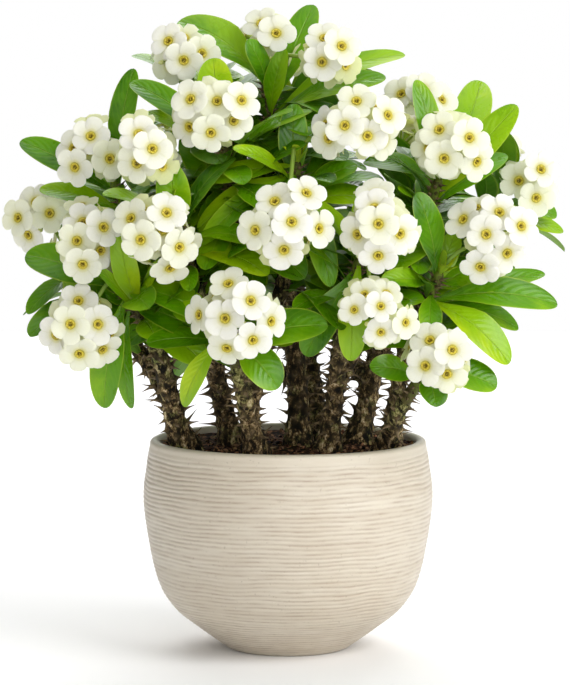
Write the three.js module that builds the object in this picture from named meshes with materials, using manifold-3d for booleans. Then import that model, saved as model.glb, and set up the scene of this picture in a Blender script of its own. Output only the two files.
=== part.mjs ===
// Crown of thorns (Euphorbia milii) in a ribbed stoneware pot. Millimetres, +Z up, seen from -Y.
// The origin is the centre of the pot's flat foot.
//
// Eight woody, spiny stems stand in holes in the soil and fork into limbs. Each limb ends in a green
// leafy shoot, and from each shoot's tip one or two stalks carry a head of five-lobed flowers.
import * as THREE from 'three';
import { mergeVertices } from 'three/addons/utils/BufferGeometryUtils.js';
import Module from 'manifold-3d';

const wasm = await Module();
wasm.setup();

// ---------------------------------------------------------------- driving dimensions

const GAP = 0.35;                   // kept clear between pieces that touch
const TOUCH = 0.1;                  // kept clear between the flower discs of one head
const GOLDEN = 137.508;             // degrees from one leaf, spine or flower to the next

const POT = {
  sides: 24,
  outline: [[45.3, 0], [69, 17], [88.5, 33.6], [101, 58], [110, 110], [107.5, 142], [105, 155]],
  ribs: 9, ribDepth: 1.2, firstRib: 0.08,
  lip: [[104.6, 158], [102.5, 159.7], [99.5, 159.7], [97.3, 158]],
  inside: [[97, 152], [101.8, 112], [93, 56], [78, 31], [52, 12]],
};
const SOIL = { sides: 14, edge: 151, mound: 2.5, lump: 1.4, rim: 97, rings: [72, 36], depth: 25 };
const BARK = { sides: 6, steps: 4, endRadius: 6, forkStep: 0.8,
  spineLength: 13, spineVaries: 2.5, spineRadius: 2, spinePitch: 25, spineRoot: 2.5, spineRise: 0.25 };
const SHOOT = { length: 40, sides: 4, radius: 5, tipRadius: 4 };
const STALK = { sides: 3, radius: 1.5, spread: 2.3, lift: 0.05, rise: 0.45, core: 6 };
const FLOWER = { radius: 15, notch: 0.86, turn: 0.3, lobe: 21, dish: 2, under: 4.5, neck: 2.1, tail: 2 };
const HEAD = { radius: 30, sight: 6, back: [0, 1, 0.25], cap: 72, spacing: 39,
  levels: [0, 1.2, -1.2, 2.4, -2.4, 3.6, -3.6, 4.8, -4.8, 6, -6, 7.2, -7.2, 8.4, 9.6, 10.8, 12] };
const LEAF = { rows: [0, 0.45, 0.82], half: [0.11, 0.92, 0.92], root: 2.6, clear: 0.14,
  rib: 1.5, fold: 0.16, arch: 0.1, length: 64, varies: 9, width: 27 };

// Leafy shoots: where each tip is, the number of leaves that the rule adds to the listed ones, and
// the listed leaves as [tip x, y, z, width].
const SHOOTS = {
  s01: { tip: [-122, -85, 284], more: 1, leaves: [
    [-193, -75, 306, 31], [-123, -114, 326, 20], [-92, -115, 304, 14], [-142, -104, 300, 9],
    [-96, -108, 246, 21], [-62, -98, 228, 27], [-136, -88, 193, 27], [-116, -62, 190, 14]] },
  s02: { tip: [-83, -107, 337], more: 3, leaves: [[-86, -106, 374, 25]] },
  s03: { tip: [-130, -42, 358], more: 3, leaves: [
    [-114, -45, 441, 22], [-200, -30, 386, 24], [-158, -28, 406, 20], [-186, -22, 350, 18]] },
  s04: { tip: [-158, 17, 288], more: 3, leaves: [[-197, -8, 256, 20], [-194, -25, 240, 26]] },
  s05: { tip: [-70, -22, 425], more: 4, leaves: [[-35, 2, 436, 24]] },
  s06: { tip: [-48, -86, 390], more: 3, leaves: [[-116, -58, 432, 21], [-106, -40, 408, 14]] },
  s07: { tip: [-16, -30, 435], more: 1, leaves: [
    [-82, -4, 476, 33], [-31, -54, 462, 21], [-2, -48, 456, 17], [87, -20, 452, 21],
    [72, -62, 434, 24], [19, -2, 488, 25]] },
  s08: { tip: [6, -88, 375], more: 0, leaves: [
    [-60, -95, 361, 20], [-67, -88, 325, 20], [-40, -120, 385, 15], [4, -108, 416, 22],
    [50, -72, 372, 20], [61, -80, 348, 20], [-64, -106, 315, 18], [31, -116, 285, 21]] },
  s09: { tip: [112, -58, 361], more: 1, leaves: [
    [94, -62, 433, 20], [146, 10, 430, 29], [169, -58, 414, 25], [163, -38, 377, 18],
    [80, -102, 354, 16], [57, -28, 371, 22]] },
  s10: { tip: [52, -105, 305], more: 2, leaves: [[45, -122, 231, 22], [12, -102, 233, 25]] },
  s11: { tip: [112, -82, 293], more: 0, leaves: [
    [94, -84, 352, 24], [68, -114, 289, 18], [103, -112, 246, 18], [199, -70, 269, 27],
    [191, -50, 290, 16], [171, -50, 248, 20], [162, -92, 226, 28], [124, -70, 322, 17]] },
  s12: { tip: [106, -92, 228], more: 1, leaves: [
    [153, -92, 209, 27], [108, -112, 197, 22], [60, -110, 226, 22]] },
  s13: { tip: [-45, -122, 260], more: 1, leaves: [
    [-83, -114, 268, 20], [-76, -104, 196, 17], [-7, -132, 212, 28], [28, -136, 259, 30]] },
  s14: { tip: [160, 30, 345], more: 4, leaves: [
    [184, -6, 362, 22], [203, 5, 328, 25], [209, 12, 316, 18]] },
  s15: { tip: [0, 70, 412], more: 5, leaves: [] },
  s16: { tip: [-102, 80, 338], more: 4, leaves: [] },
  s17: { tip: [100, 82, 338], more: 5, leaves: [] },
  s18: { tip: [0, 132, 325], more: 4, leaves: [] },
  s19: { tip: [-58, 130, 252], more: 5, leaves: [] },
  s20: { tip: [58, 130, 252], more: 5, leaves: [] },
};
const SHOOTS_FAN_FROM = [0, 0, 60];
const HOLE_START = -0.004;          // a stem's hole starts this share of its length below the root
const LEAN = 0.008;                 // how far a stem leans at its root for each mm from the middle

// Stems: where each stands, its radius in the soil, and its limbs as [shoot, fork], the fork being
// the share of the first limb's length at which another leaves it.
const STEMS = {
  stem_1: { root: [-66, -10], radius: 10.5, limbs: [['s01', 0], ['s04', 0.4]] },
  stem_2: { root: [-36, 22], radius: 9, limbs: [['s02', 0], ['s03', 0.5]] },
  stem_3: { root: [-20, -38], radius: 9.5, limbs: [['s13', 0], ['s08', 0.4]] },
  stem_4: { root: [7, 13], radius: 9.5, limbs: [['s07', 0], ['s06', 0.5], ['s05', 0.6]] },
  stem_5: { root: [25, -12], radius: 9, limbs: [['s10', 0], ['s09', 0.4]] },
  stem_6: { root: [64, -14], radius: 10, limbs: [['s12', 0], ['s11', 0.4]] },
  stem_7: { root: [45, 30], radius: 9.5, limbs: [['s17', 0], ['s14', 0.4], ['s20', 0.3]] },
  stem_8: { root: [20, 50], radius: 9.5, limbs: [['s18', 0], ['s16', 0.4], ['s15', 0.5], ['s19', 0.3]] },
};

// Flower heads: the shoot, the heart where the flower stalks meet, and the front flowers as [right,
// up] from the heart, seen from the front and a little above. A head that the photo doesn't show
// faces the way given instead.
const HEADS = {
  a: { on: 's05', heart: [-78, -25, 450], reach: 26, flowers: [[-13, 11], [1, -6], [18, 0], [-16, -15]] },
  b: { on: 's07', heart: [-12, -15, 458], reach: 26, flowers: [[-10, 18], [3, 6]] },
  c: { on: 's07', heart: [27, -72, 450], reach: 26, flowers: [[-3, -7], [11, 5], [-1, 20]] },
  d: { on: 's06', heart: [-52, -106, 407], flowers: [
    [1, 10], [-3, -12], [16, -5], [-20, -9], [-15, 9], [15, 8]] },
  e: { on: 's08', heart: [48, -112, 399], flowers: [
    [1, 19], [-7, 0], [-20, -9], [10, -8], [26, -12], [21, 7], [-28, 3]] },
  f: { on: 's09', heart: [117, -85, 384], flowers: [[-8, 12], [-4, -9], [11, 4], [21, -12], [-21, -2]] },
  g: { on: 's09', heart: [96, -30, 411], reach: 24, flowers: [[-16, 13], [4, 13], [24, 8]] },
  h: { on: 's03', heart: [-144, -50, 377], flowers: [[-1, 13], [-12, -10], [12, -4], [-20, 6]] },
  i: { on: 's02', heart: [-104, -115, 381], flowers: [[-3, 13], [6, 1], [-6, -11]] },
  j: { on: 's04', heart: [-182, 8, 326], reach: 26, flowers: [[-10, 15], [3, 3], [-19, 0], [-17, -15]] },
  k: { on: 's01', heart: [-146, -90, 319], flowers: [[-7, -4], [11, 5], [13, -14], [-2, -17], [-4, 14]] },
  l: { on: 's02', heart: [-94, -135, 323], flowers: [
    [-19, 12], [-10, -4], [6, 4], [16, -9], [10, -25], [7, 14]] },
  m: { on: 's08', heart: [-1, -147, 330], flowers: [
    [-9, 18], [12, 20], [3, 2], [-20, -3], [24, -2], [-2, -18]] },
  n: { on: 's10', heart: [65, -137, 331], flowers: [
    [-4, 11], [-1, -1], [-18, -9], [15, -8], [-1, -20], [-3, 26]] },
  o: { on: 's11', heart: [147, -94, 321], flowers: [
    [-21, 11], [-15, 29], [6, 16], [-4, -1], [12, -15], [-7, -21], [17, 4]] },
  p: { on: 's14', heart: [180, 10, 350], reach: 25, flowers: [[-8, 5], [6, -9], [8, 10], [20, 0]] },
  q: { on: 's14', heart: [157, 60, 366], reach: 25, flowers: [[12, 19]] },
  r: { on: 's01', heart: [-151, -97, 255], flowers: [
    [-1, 18], [13, 0], [-5, 0], [-18, -8], [0, -19], [17, -19]] },
  s: { on: 's13', heart: [-37, -150, 266], flowers: [
    [-6, 24], [-8, -2], [9, 9], [-7, -24], [11, -16], [-28, 1], [26, -4]] },
  t: { on: 's10', heart: [62, -140, 267], radius: 12, flowers: [
    [-8, 14], [-13, 2], [3, 4], [4, -14], [20, -6], [10, 18]] },
  u: { on: 's12', heart: [110, -118, 232], flowers: [[-12, -5], [7, 6], [6, -15], [-10, 17]] },
  v1: { on: 's15', heart: [0, 82, 436], faces: [0, 0.5, 0.85] },
  v2: { on: 's16', heart: [-98, 102, 376], faces: [-0.5, 0.65, 0.55] },
  v3: { on: 's17', heart: [88, 110, 374], faces: [0.45, 0.7, 0.55] },
  v4: { on: 's16', heart: [-138, 94, 305], faces: [-0.75, 0.6, 0.25] },
  v5: { on: 's18', heart: [0, 157, 336], faces: [0, 0.95, 0.35] },
  v6: { on: 's17', heart: [138, 94, 305], faces: [0.75, 0.6, 0.25] },
  v7: { on: 's19', heart: [-68, 152, 262], faces: [-0.4, 0.9, 0.1] },
  v8: { on: 's20', heart: [68, 152, 262], faces: [0.4, 0.9, 0.1] },
  v9: { on: 's04', heart: [-148, 58, 292], faces: [-0.75, 0.6, 0.25] },
};
const FLOWERS_A_HEAD = 5;           // heads with fewer listed flowers are filled up to this number

// ---------------------------------------------------------------- vectors and solids

const { sin, cos, sqrt, PI } = Math;
const rad = THREE.MathUtils.degToRad;
const vec = (x, y, z) => new THREE.Vector3(x, y, z);
const from = (list) => vec(...list);
const along = (p, direction, distance) => p.clone().addScaledVector(direction, distance);
const toward = (a, b) => b.clone().sub(a).normalize();

// Triangles between two rings of any size that run the same way round.
function bridge(triangles, a, b) {
  for (let i = 0, j = 0; i < a.length || j < b.length;) {
    const stepA = j >= b.length || (i < a.length && (i + 1) / a.length <= (j + 1) / b.length);
    const [p, q] = [a[i % a.length], b[j % b.length]];
    if (stepA) triangles.push([p, a[++i % a.length], q]);
    else triangles.push([p, b[++j % b.length], q]);
  }
}

// A closed skin over a row of rings, each a list of points; a ring of one point is an apex.
function skin(rings) {
  const points = rings.flat();
  const index = [];
  let count = 0;
  for (const ring of rings) index.push(ring.map(() => count++));
  const triangles = [];
  for (let r = 0; r + 1 < rings.length; r++) {
    const [a, b] = [index[r], index[r + 1]];
    if (a.length === 1) b.forEach((q, j) => triangles.push([a[0], b[(j + 1) % b.length], q]));
    else if (b.length === 1) a.forEach((p, i) => triangles.push([p, a[(i + 1) % a.length], b[0]]));
    else bridge(triangles, a, b);
  }
  const [first, last] = [index[0], index.at(-1)];
  for (let i = 1; i + 1 < first.length; i++) triangles.push([first[0], first[i + 1], first[i]]);
  for (let i = 1; i + 1 < last.length; i++) triangles.push([last[0], last[i], last[i + 1]]);
  return solid(points, triangles);
}

function solid(points, triangles) {
  let volume = 0;
  for (const [a, b, c] of triangles) volume += points[a].dot(points[b].clone().cross(points[c]));
  const facing = volume < 0 ? triangles.map(([a, b, c]) => [a, c, b]) : triangles;
  return new wasm.Manifold(new wasm.Mesh({
    numProp: 3,
    vertProperties: new Float32Array(points.flatMap((p) => [p.x, p.y, p.z])),
    triVerts: new Uint32Array(facing.flat()),
  }));
}

function solidFromGeometry(geometry) {
  geometry.deleteAttribute('normal');
  geometry.deleteAttribute('uv');
  const merged = mergeVertices(geometry, 1e-3);
  const { array } = merged.attributes.position;
  const points = [];
  for (let i = 0; i < array.length; i += 3) points.push(vec(array[i], array[i + 1], array[i + 2]));
  const index = merged.index.array;
  const triangles = [];
  for (let i = 0; i < index.length; i += 3) {
    const [a, b, c] = index.slice(i, i + 3);
    if (a !== b && b !== c && c !== a) triangles.push([a, b, c]);
  }
  return solid(points, triangles);
}

function geometryFromSolid(shape) {
  const { vertProperties, triVerts } = shape.getMesh();
  const geometry = new THREE.BufferGeometry();
  geometry.setAttribute('position', new THREE.BufferAttribute(vertProperties, 3));
  geometry.setIndex(new THREE.BufferAttribute(triVerts, 1));
  geometry.computeVertexNormals();
  return geometry;
}

// Two directions square to a third, the same for the same direction.
function sides(direction) {
  const reference = Math.abs(direction.z) < 0.8 ? vec(0, 0, 1) : vec(1, 0, 0);
  const u = reference.cross(direction).normalize();
  return [u, direction.clone().cross(u)];
}

function ring(centre, direction, radius, count) {
  const [u, v] = sides(direction);
  return Array.from({ length: count }, (_, i) => {
    const angle = (2 * PI * i) / count;
    return along(along(centre, u, radius * cos(angle)), v, radius * sin(angle));
  });
}

// A round rod along a curve. Its rings turn with the curve and don't twist.
function rod(curve, radiusAt, count, steps, start = 0) {
  const rings = [];
  let turned = null;
  for (let k = 0; k <= steps; k++) {
    const t = start + ((1 - start) * k) / steps;
    const direction = curve.getTangent(Math.max(t, 0));
    const centre = curve.getPoint(t);
    turned = turned
      ? turned.clone().addScaledVector(direction, -turned.dot(direction)).normalize()
      : sides(direction)[0];
    const other = direction.clone().cross(turned);
    rings.push(Array.from({ length: count }, (_, i) => {
      const angle = (2 * PI * i) / count;
      const r = radiusAt(t);
      return along(along(centre, turned, r * cos(angle)), other, r * sin(angle));
    }));
  }
  return skin(rings);
}

// What stands where: every small solid with its owner, so that new ones can be kept clear of it.
const placed = [];

function place(owner, shape) {
  placed.push({ owner, shape, box: shape.boundingBox() });
}

function isClear(owner, shape) {
  const box = shape.boundingBox();
  return placed.every((other) => other.owner === owner || apart(box, other.box)
    || shape.minGap(other.shape, 1) > GAP);
}

function apart(a, b) {
  return [0, 1, 2].some((k) => a.min[k] > b.max[k] + GAP || b.min[k] > a.max[k] + GAP);
}

const fuse = (shapes) => wasm.Manifold.union(shapes);

// ---------------------------------------------------------------- pot and soil

function potSolid() {
  const wall = new THREE.SplineCurve(POT.outline.map(([r, z]) => new THREE.Vector2(r, z)));
  const profile = [new THREE.Vector2(0, 0), wall.getPoint(0)];
  for (let k = 0; k < 2 * POT.ribs; k++) {
    const p = wall.getPoint(POT.firstRib + ((1 - POT.firstRib) * k) / (2 * POT.ribs - 1));
    profile.push(new THREE.Vector2(p.x - (k % 2 ? 0 : POT.ribDepth), p.y));
  }
  for (const [r, z] of [...POT.lip, ...POT.inside]) profile.push(new THREE.Vector2(r, z));
  profile.push(new THREE.Vector2(0, POT.inside.at(-1)[1]));
  return solidFromGeometry(standing(new THREE.LatheGeometry(profile, POT.sides)));
}

// A lathe turns round +Y, so it is stood up on +Z.
const standing = (geometry) => geometry.rotateX(PI / 2);

function soilSolid(cutters) {
  const slack = cos(PI / POT.sides);
  const fit = ([r, z]) => new THREE.Vector2(r * slack - GAP, z);
  const wall = POT.inside.map(fit).reverse();
  const profile = [new THREE.Vector2(0, wall[0].y + GAP)];
  wall[0].y += GAP;
  wall[wall.length - 1].y = SOIL.edge;
  profile.push(...wall);
  for (const r of SOIL.rings) {
    profile.push(new THREE.Vector2(r, SOIL.edge + SOIL.mound * (1 - r / SOIL.rim)));
  }
  profile.push(new THREE.Vector2(0, SOIL.edge + SOIL.mound));
  const geometry = standing(new THREE.LatheGeometry(profile, SOIL.sides));
  const position = geometry.attributes.position;
  for (let i = 0; i < position.count; i++) {
    const [x, y, z] = [position.getX(i), position.getY(i), position.getZ(i)];
    const r = Math.hypot(x, y);
    if (z < SOIL.edge - 1 || r > SOIL.rim - 4 || r < 1) continue;
    position.setZ(i, z + SOIL.lump * sin(x * 0.31 + 1) * cos(y * 0.27 + x * 0.11));
  }
  return solidFromGeometry(geometry).subtract(fuse(cutters));
}

// ---------------------------------------------------------------- stems and shoots

function shootLine(name) {
  const tip = from(SHOOTS[name].tip);
  const aim = toward(from(SHOOTS_FAN_FROM), tip);
  return { tip, aim, foot: along(tip, aim, -SHOOT.length) };
}

// The limb to a shoot: the stem's first limb rises from the soil, the others leave it at a fork.
function limbCurve(stem, shoot, fork, trunk) {
  const { aim, foot } = shootLine(shoot);
  const start = trunk
    ? trunk.getPoint(fork)
    : vec(...stem.root, SOIL.edge + SOIL.mound - SOIL.depth);
  const rise = start.distanceTo(foot);
  const lean = trunk ? trunk.getTangent(fork) : vec(stem.root[0] * LEAN, stem.root[1] * LEAN, 1);
  return new THREE.CubicBezierCurve3(
    start, along(start, lean, rise * (trunk ? 0.25 : 0.4)), along(foot, aim, -rise * 0.3), foot);
}

function stemLimbs(stem) {
  const limbs = [];
  for (const [shoot, fork] of stem.limbs) {
    const trunk = limbs.length ? limbs[0].curve : null;
    const curve = limbCurve(stem, shoot, fork, trunk);
    const thick = stem.radius + (BARK.endRadius - stem.radius) * fork - (trunk ? BARK.forkStep : 0);
    const radiusAt = (t) => thick + (BARK.endRadius - thick) * t;
    limbs.push({ curve, radiusAt, length: curve.getLength() });
  }
  return limbs;
}

// Spines stand round each limb in a spiral, each a three-sided thorn with its root in the wood.
function limbSpines(owner, limb, turn) {
  const spines = [];
  const count = Math.floor(limb.length / BARK.spinePitch);
  for (let k = 0; k < count; k++) {
    const t = limb.curve.getUtoTmapping((k + 0.6) / count);
    const centre = limb.curve.getPoint(t);
    if (centre.z < SOIL.edge + SOIL.mound + 5) continue;
    const direction = limb.curve.getTangent(t);
    const [u, v] = sides(direction);
    const angle = rad(GOLDEN * (k + turn));
    const outward = u.multiplyScalar(cos(angle)).addScaledVector(v, sin(angle));
    const rise = outward.clone().addScaledVector(direction, BARK.spineRise).normalize();
    const root = along(centre, outward, limb.radiusAt(t) * cos(PI / BARK.sides) - BARK.spineRoot);
    const tip = along(root, rise, BARK.spineLength + BARK.spineVaries * sin(k * 1.7));
    const spine = skin([ring(root, rise, BARK.spineRadius, 3), [tip]]);
    if (!isClear(owner, spine)) continue;
    place(owner, spine);
    spines.push(spine);
  }
  return spines;
}

function shootRod(name) {
  const { tip, aim, foot } = shootLine(name);
  const bottom = along(foot, aim, GAP);
  return skin([
    ring(bottom, aim, SHOOT.radius, SHOOT.sides),
    ring(tip, aim, SHOOT.tipRadius, SHOOT.sides),
  ]);
}

// ---------------------------------------------------------------- flower heads

function stalkCurve(name) {
  const head = HEADS[name];
  const { tip, aim } = shootLine(head.on);
  const heart = from(head.heart);
  const start = along(tip, aim, GAP + STALK.lift);
  const mate = Object.values(HEADS).find((other) => other.on === head.on && other !== head);
  if (mate) {
    const aside = heart.clone().sub(from(mate.heart));
    aside.addScaledVector(aim, -aside.dot(aim)).normalize();
    start.addScaledVector(aside, STALK.spread);
  }
  const reach = start.distanceTo(heart);
  const end = along(heart, toward(start, heart), -reach / 3);
  return new THREE.CubicBezierCurve3(start, along(start, aim, reach * STALK.rise), end, heart);
}

function stalkSolids(name) {
  const heart = from(HEADS[name].heart);
  const core = new THREE.OctahedronGeometry(STALK.core).translate(...HEADS[name].heart);
  const stalk = rod(stalkCurve(name), () => STALK.radius, STALK.sides, 2);
  return { heart, pieces: [stalk, solidFromGeometry(core)] };
}

// One flower: a dished disc with five lobes on a stalk that tapers down past the head's heart. It
// stands in one direction from the heart and faces in another.
function flowerSolids(heart, direction, facing, radius, height, spin) {
  const [u, v] = sides(facing);
  const middle = along(heart, direction, height);
  const at = (r, degrees, z) => {
    const angle = rad(degrees);
    return along(along(along(middle, facing, z), u, r * cos(angle)), v, r * sin(angle));
  };
  const rim = [];
  for (let lobe = 0; lobe < 5; lobe++) {
    const axis = spin + 72 * lobe;
    rim.push(at(radius, axis - FLOWER.lobe, 0), at(radius, axis + FLOWER.lobe, 0));
    rim.push(at(radius * FLOWER.notch, axis + 36, -0.8));
  }
  const neck = [0, 120, 240].map((angle) => at(FLOWER.neck, spin + angle, -FLOWER.under));
  const centre = at(0, 0, -FLOWER.dish);
  const tail = along(heart, direction, -FLOWER.tail);
  return { whole: skin([[centre], rim, neck, [tail]]), disc: skin([[centre], rim, neck]) };
}

// The way to each flower of a head: the listed ones, and a spiral over a cap at the head's back, or
// at its front if none are listed. front is the way that the head as a whole looks.
function flowerDirections(head) {
  const sight = rad(HEAD.sight);
  const up = vec(0, sin(sight), cos(sight));
  const near = vec(0, -cos(sight), sin(sight));
  const listed = (head.flowers ?? []).map(([right, high]) => {
    const depth = sqrt(Math.max(HEAD.radius ** 2 - right ** 2 - high ** 2, 100));
    return vec(right, 0, 0).addScaledVector(up, high).addScaledVector(near, depth).normalize();
  });
  const faces = from(head.faces ?? HEAD.back).normalize();
  const [u, v] = sides(faces);
  const spiral = [];
  for (let k = 0; k < 60; k++) {
    const height = 1 - (1 - cos(rad(HEAD.cap))) * (k / 59);
    const flat = sqrt(1 - height * height);
    const angle = rad(GOLDEN * k);
    spiral.push(faces.clone().multiplyScalar(height)
      .addScaledVector(u, flat * cos(angle)).addScaledVector(v, flat * sin(angle)));
  }
  const sum = listed.reduce((total, direction) => total.add(direction), vec(0, 0, 0));
  return { listed, spiral, front: listed.length ? sum.normalize() : faces };
}

// ---------------------------------------------------------------- leaves

// A blade with a keel below and a fold above, from a narrow root in the shoot to its tip.
function leafSolids(base, tip, width, face) {
  const forward = toward(base, tip);
  const side = forward.clone().cross(face).normalize();
  const up = side.clone().cross(forward);
  const length = base.distanceTo(tip);
  const at = (t, s, half, drop) => {
    const lift = LEAF.arch * length * 4 * t * (1 - t) + LEAF.fold * Math.abs(s) * half - drop;
    return along(along(along(base, forward, length * t), up, lift), side, s * half);
  };
  const rows = LEAF.rows.map((t, k) => {
    const half = (LEAF.half[k] * width) / 2;
    const keel = at(t, 0, half, LEAF.rib);
    return k ? [at(t, -1, half, 0), at(t, 0, half, 0), at(t, 1, half, 0), keel]
      : [at(t, -1, half, 0), at(t, 1, half, 0), keel];
  });
  const clearOfShoot = [-1, 1].map((s) => at(LEAF.clear, s, (LEAF.half[0] * width) / 2, 0));
  const visible = [[...clearOfShoot, at(LEAF.clear, 0, 0, LEAF.rib)], ...rows.slice(1), [tip]];
  return { whole: skin([...rows, [tip]]), blade: skin(visible) };
}

// A leaf's root, just under the shoot's skin on the side that the leaf grows from.
function leafRoot(shoot, share, outward) {
  const { foot, aim } = shootLine(shoot);
  const side = outward.clone().addScaledVector(aim, -outward.dot(aim)).normalize();
  return along(along(foot, aim, SHOOT.length * share), side, LEAF.root);
}

// Ways to set a listed leaf: its root higher or lower on the shoot, its tip nearer or further.
function* listedPoses(shoot, [x, y, z, width], k) {
  const { foot, aim } = shootLine(shoot);
  const face = aim.clone().add(vec(0, -1.1, 0.35));
  for (const share of [1, 0.92, 0.84]) {
    for (const shift of [0, -7, 7, -14, 14, -22, 22, 30]) {
      for (const step of [0, 2, 1, 3, 4]) {
        const end = vec(x, y + shift, z);
        const base = leafRoot(shoot, 0.9 - 0.17 * ((k + step) % 5), end.clone().sub(foot));
        yield { base, tip: base.clone().lerp(end, share), width, face };
      }
    }
  }
}

// Ways to set a leaf by the rule: the next turn of the spiral, then turned, raised or shortened.
function* spiralPoses(shoot, turn, k, count) {
  const { aim } = shootLine(shoot);
  const [u, v] = sides(aim);
  const rank = count > 1 ? k / (count - 1) : 0.5;
  const length = LEAF.length + LEAF.varies * sin(k * 2.1 + turn);
  for (const share of [1, 0.85, 0.7, 0.55]) {
    for (const lift of [0, -18, 18, -34]) {
      for (const swing of [0, 22, -22, 44, -44]) {
        const angle = rad(GOLDEN * k + 53 * turn + swing);
        const lean = rad(98 - 48 * rank + lift);
        const outward = u.clone().multiplyScalar(cos(angle)).addScaledVector(v, sin(angle));
        const base = leafRoot(shoot, 0.15 + 0.75 * rank, outward);
        const direction = outward.multiplyScalar(sin(lean)).addScaledVector(aim, cos(lean));
        const tip = along(base, direction, length * share);
        yield { base, tip, width: LEAF.width * share ** 0.5, face: aim };
      }
    }
  }
}

function growLeaf(shoot, poses, blades) {
  for (const { base, tip, width, face } of poses) {
    const { whole, blade } = leafSolids(base, tip, width, face);
    if (blades.some((other) => other.minGap(blade, 1) < GAP) || !isClear(shoot, whole)) continue;
    blades.push(blade);
    place(shoot, whole);
    return [whole];
  }
  return [];
}

// ---------------------------------------------------------------- assembly

const paint = (color, roughness) => new THREE.MeshStandardMaterial({ color, roughness, metalness: 0 });
const STONEWARE = paint(0xd9cdbb, 0.8);
const EARTH = paint(0x3b261c, 0.95);
const BARK_PAINT = paint(0x6b5748, 0.85);
const LEAF_PAINT = paint(0x4f9a2c, 0.45);
const PETAL_PAINT = paint(0xf8f6e8, 0.6);

const group = new THREE.Group();

function addMesh(name, shape, material) {
  const mesh = new THREE.Mesh(geometryFromSolid(shape), material);
  mesh.name = name;
  group.add(mesh);
}

// Bare wood, shoots and flower stalks stand first, then flowers, spines and leaves find room.
const pot = potSolid();
place('pot', pot);

const wood = {};
for (const [name, stem] of Object.entries(STEMS)) {
  const limbs = stemLimbs(stem);
  const pieces = limbs.map(({ curve, radiusAt }) => rod(curve, radiusAt, BARK.sides, BARK.steps));
  wood[name] = { limbs, pieces };
  for (const piece of pieces) place(name, piece);
}
const holes = Object.values(wood).map(({ limbs: [{ curve, radiusAt }] }) => (
  rod(curve, (t) => radiusAt(t) + 2 * GAP, BARK.sides, BARK.steps, HOLE_START)));
const soil = soilSolid(holes);
place('soil', soil);

const shoots = {};
for (const name of Object.keys(SHOOTS)) {
  shoots[name] = { pieces: [shootRod(name)], blades: [] };
  place(name, shoots[name].pieces[0]);
}

const heads = {};
for (const name of Object.keys(HEADS)) {
  heads[name] = { ...stalkSolids(name), ...flowerDirections(HEADS[name]), discs: [], taken: [] };
  for (const piece of heads[name].pieces) place(name, piece);
}

// A flower takes the first height at which its disc clears the head's other discs. Where there is
// none, a listed flower takes the first that is clear of other heads, and a filler is left out.
function growFlower(name, direction, k, isListed) {
  const head = heads[name];
  const radius = HEADS[name].radius ?? FLOWER.radius;
  const reach = HEADS[name].reach ?? HEAD.radius;
  const facing = direction.clone().lerp(head.front, FLOWER.turn).normalize();
  const poses = HEAD.levels
    .map((level) => flowerSolids(head.heart, direction, facing, radius, reach + level, k * GOLDEN))
    .filter(({ whole }) => isClear(name, whole));
  const apartFromRest = poses.find(({ disc }) => (
    head.discs.every((other) => other.minGap(disc, 1) > TOUCH)));
  const chosen = apartFromRest ?? (isListed ? poses[0] : null);
  if (!chosen) return;
  head.discs.push(chosen.disc);
  head.taken.push(direction);
  head.pieces.push(chosen.whole);
  place(name, chosen.whole);
}
for (const [name, head] of Object.entries(heads)) {
  head.listed.forEach((direction, k) => growFlower(name, direction, k, true));
}
for (const [name, head] of Object.entries(heads)) {
  head.spiral.forEach((direction, k) => {
    const tooNear = head.taken.some((other) => other.angleTo(direction) < rad(HEAD.spacing));
    if (head.taken.length < FLOWERS_A_HEAD && !tooNear) growFlower(name, direction, k, false);
  });
}

Object.entries(wood).forEach(([name, { limbs, pieces }], turn) => {
  for (const limb of limbs) pieces.push(...limbSpines(name, limb, turn));
});

for (const [name, { leaves }] of Object.entries(SHOOTS)) {
  const { pieces, blades } = shoots[name];
  leaves.forEach((leaf, k) => pieces.push(...growLeaf(name, listedPoses(name, leaf, k), blades)));
}
Object.entries(SHOOTS).forEach(([name, { more }], turn) => {
  const { pieces, blades } = shoots[name];
  for (let k = 0; k < more; k++) {
    pieces.push(...growLeaf(name, spiralPoses(name, turn, k, more), blades));
  }
});

addMesh('pot', pot, STONEWARE);
addMesh('soil', soil, EARTH);
for (const [name, { pieces }] of Object.entries(wood)) addMesh(name, fuse(pieces), BARK_PAINT);
for (const [name, { pieces }] of Object.entries(shoots)) {
  addMesh(`leaves_${name}`, fuse(pieces), LEAF_PAINT);
}
for (const [name, { pieces }] of Object.entries(heads)) {
  addMesh(`flowers_${name}`, fuse(pieces), PETAL_PAINT);
}

export default group;
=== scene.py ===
"""Crown of thorns (Euphorbia milii) in a ribbed stoneware pot: the looks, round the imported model.

Lengths are in millimetres until a mesh is made. Each packed leaf and flower is found again in its
node's mesh, among the few places where it can be, and a finer one is made there.
"""
import random
from collections import namedtuple
from itertools import product
from math import cos, hypot, pi, radians, sin, sqrt

import bpy
import numpy as np
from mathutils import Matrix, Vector, noise
from mathutils.kdtree import KDTree

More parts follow.
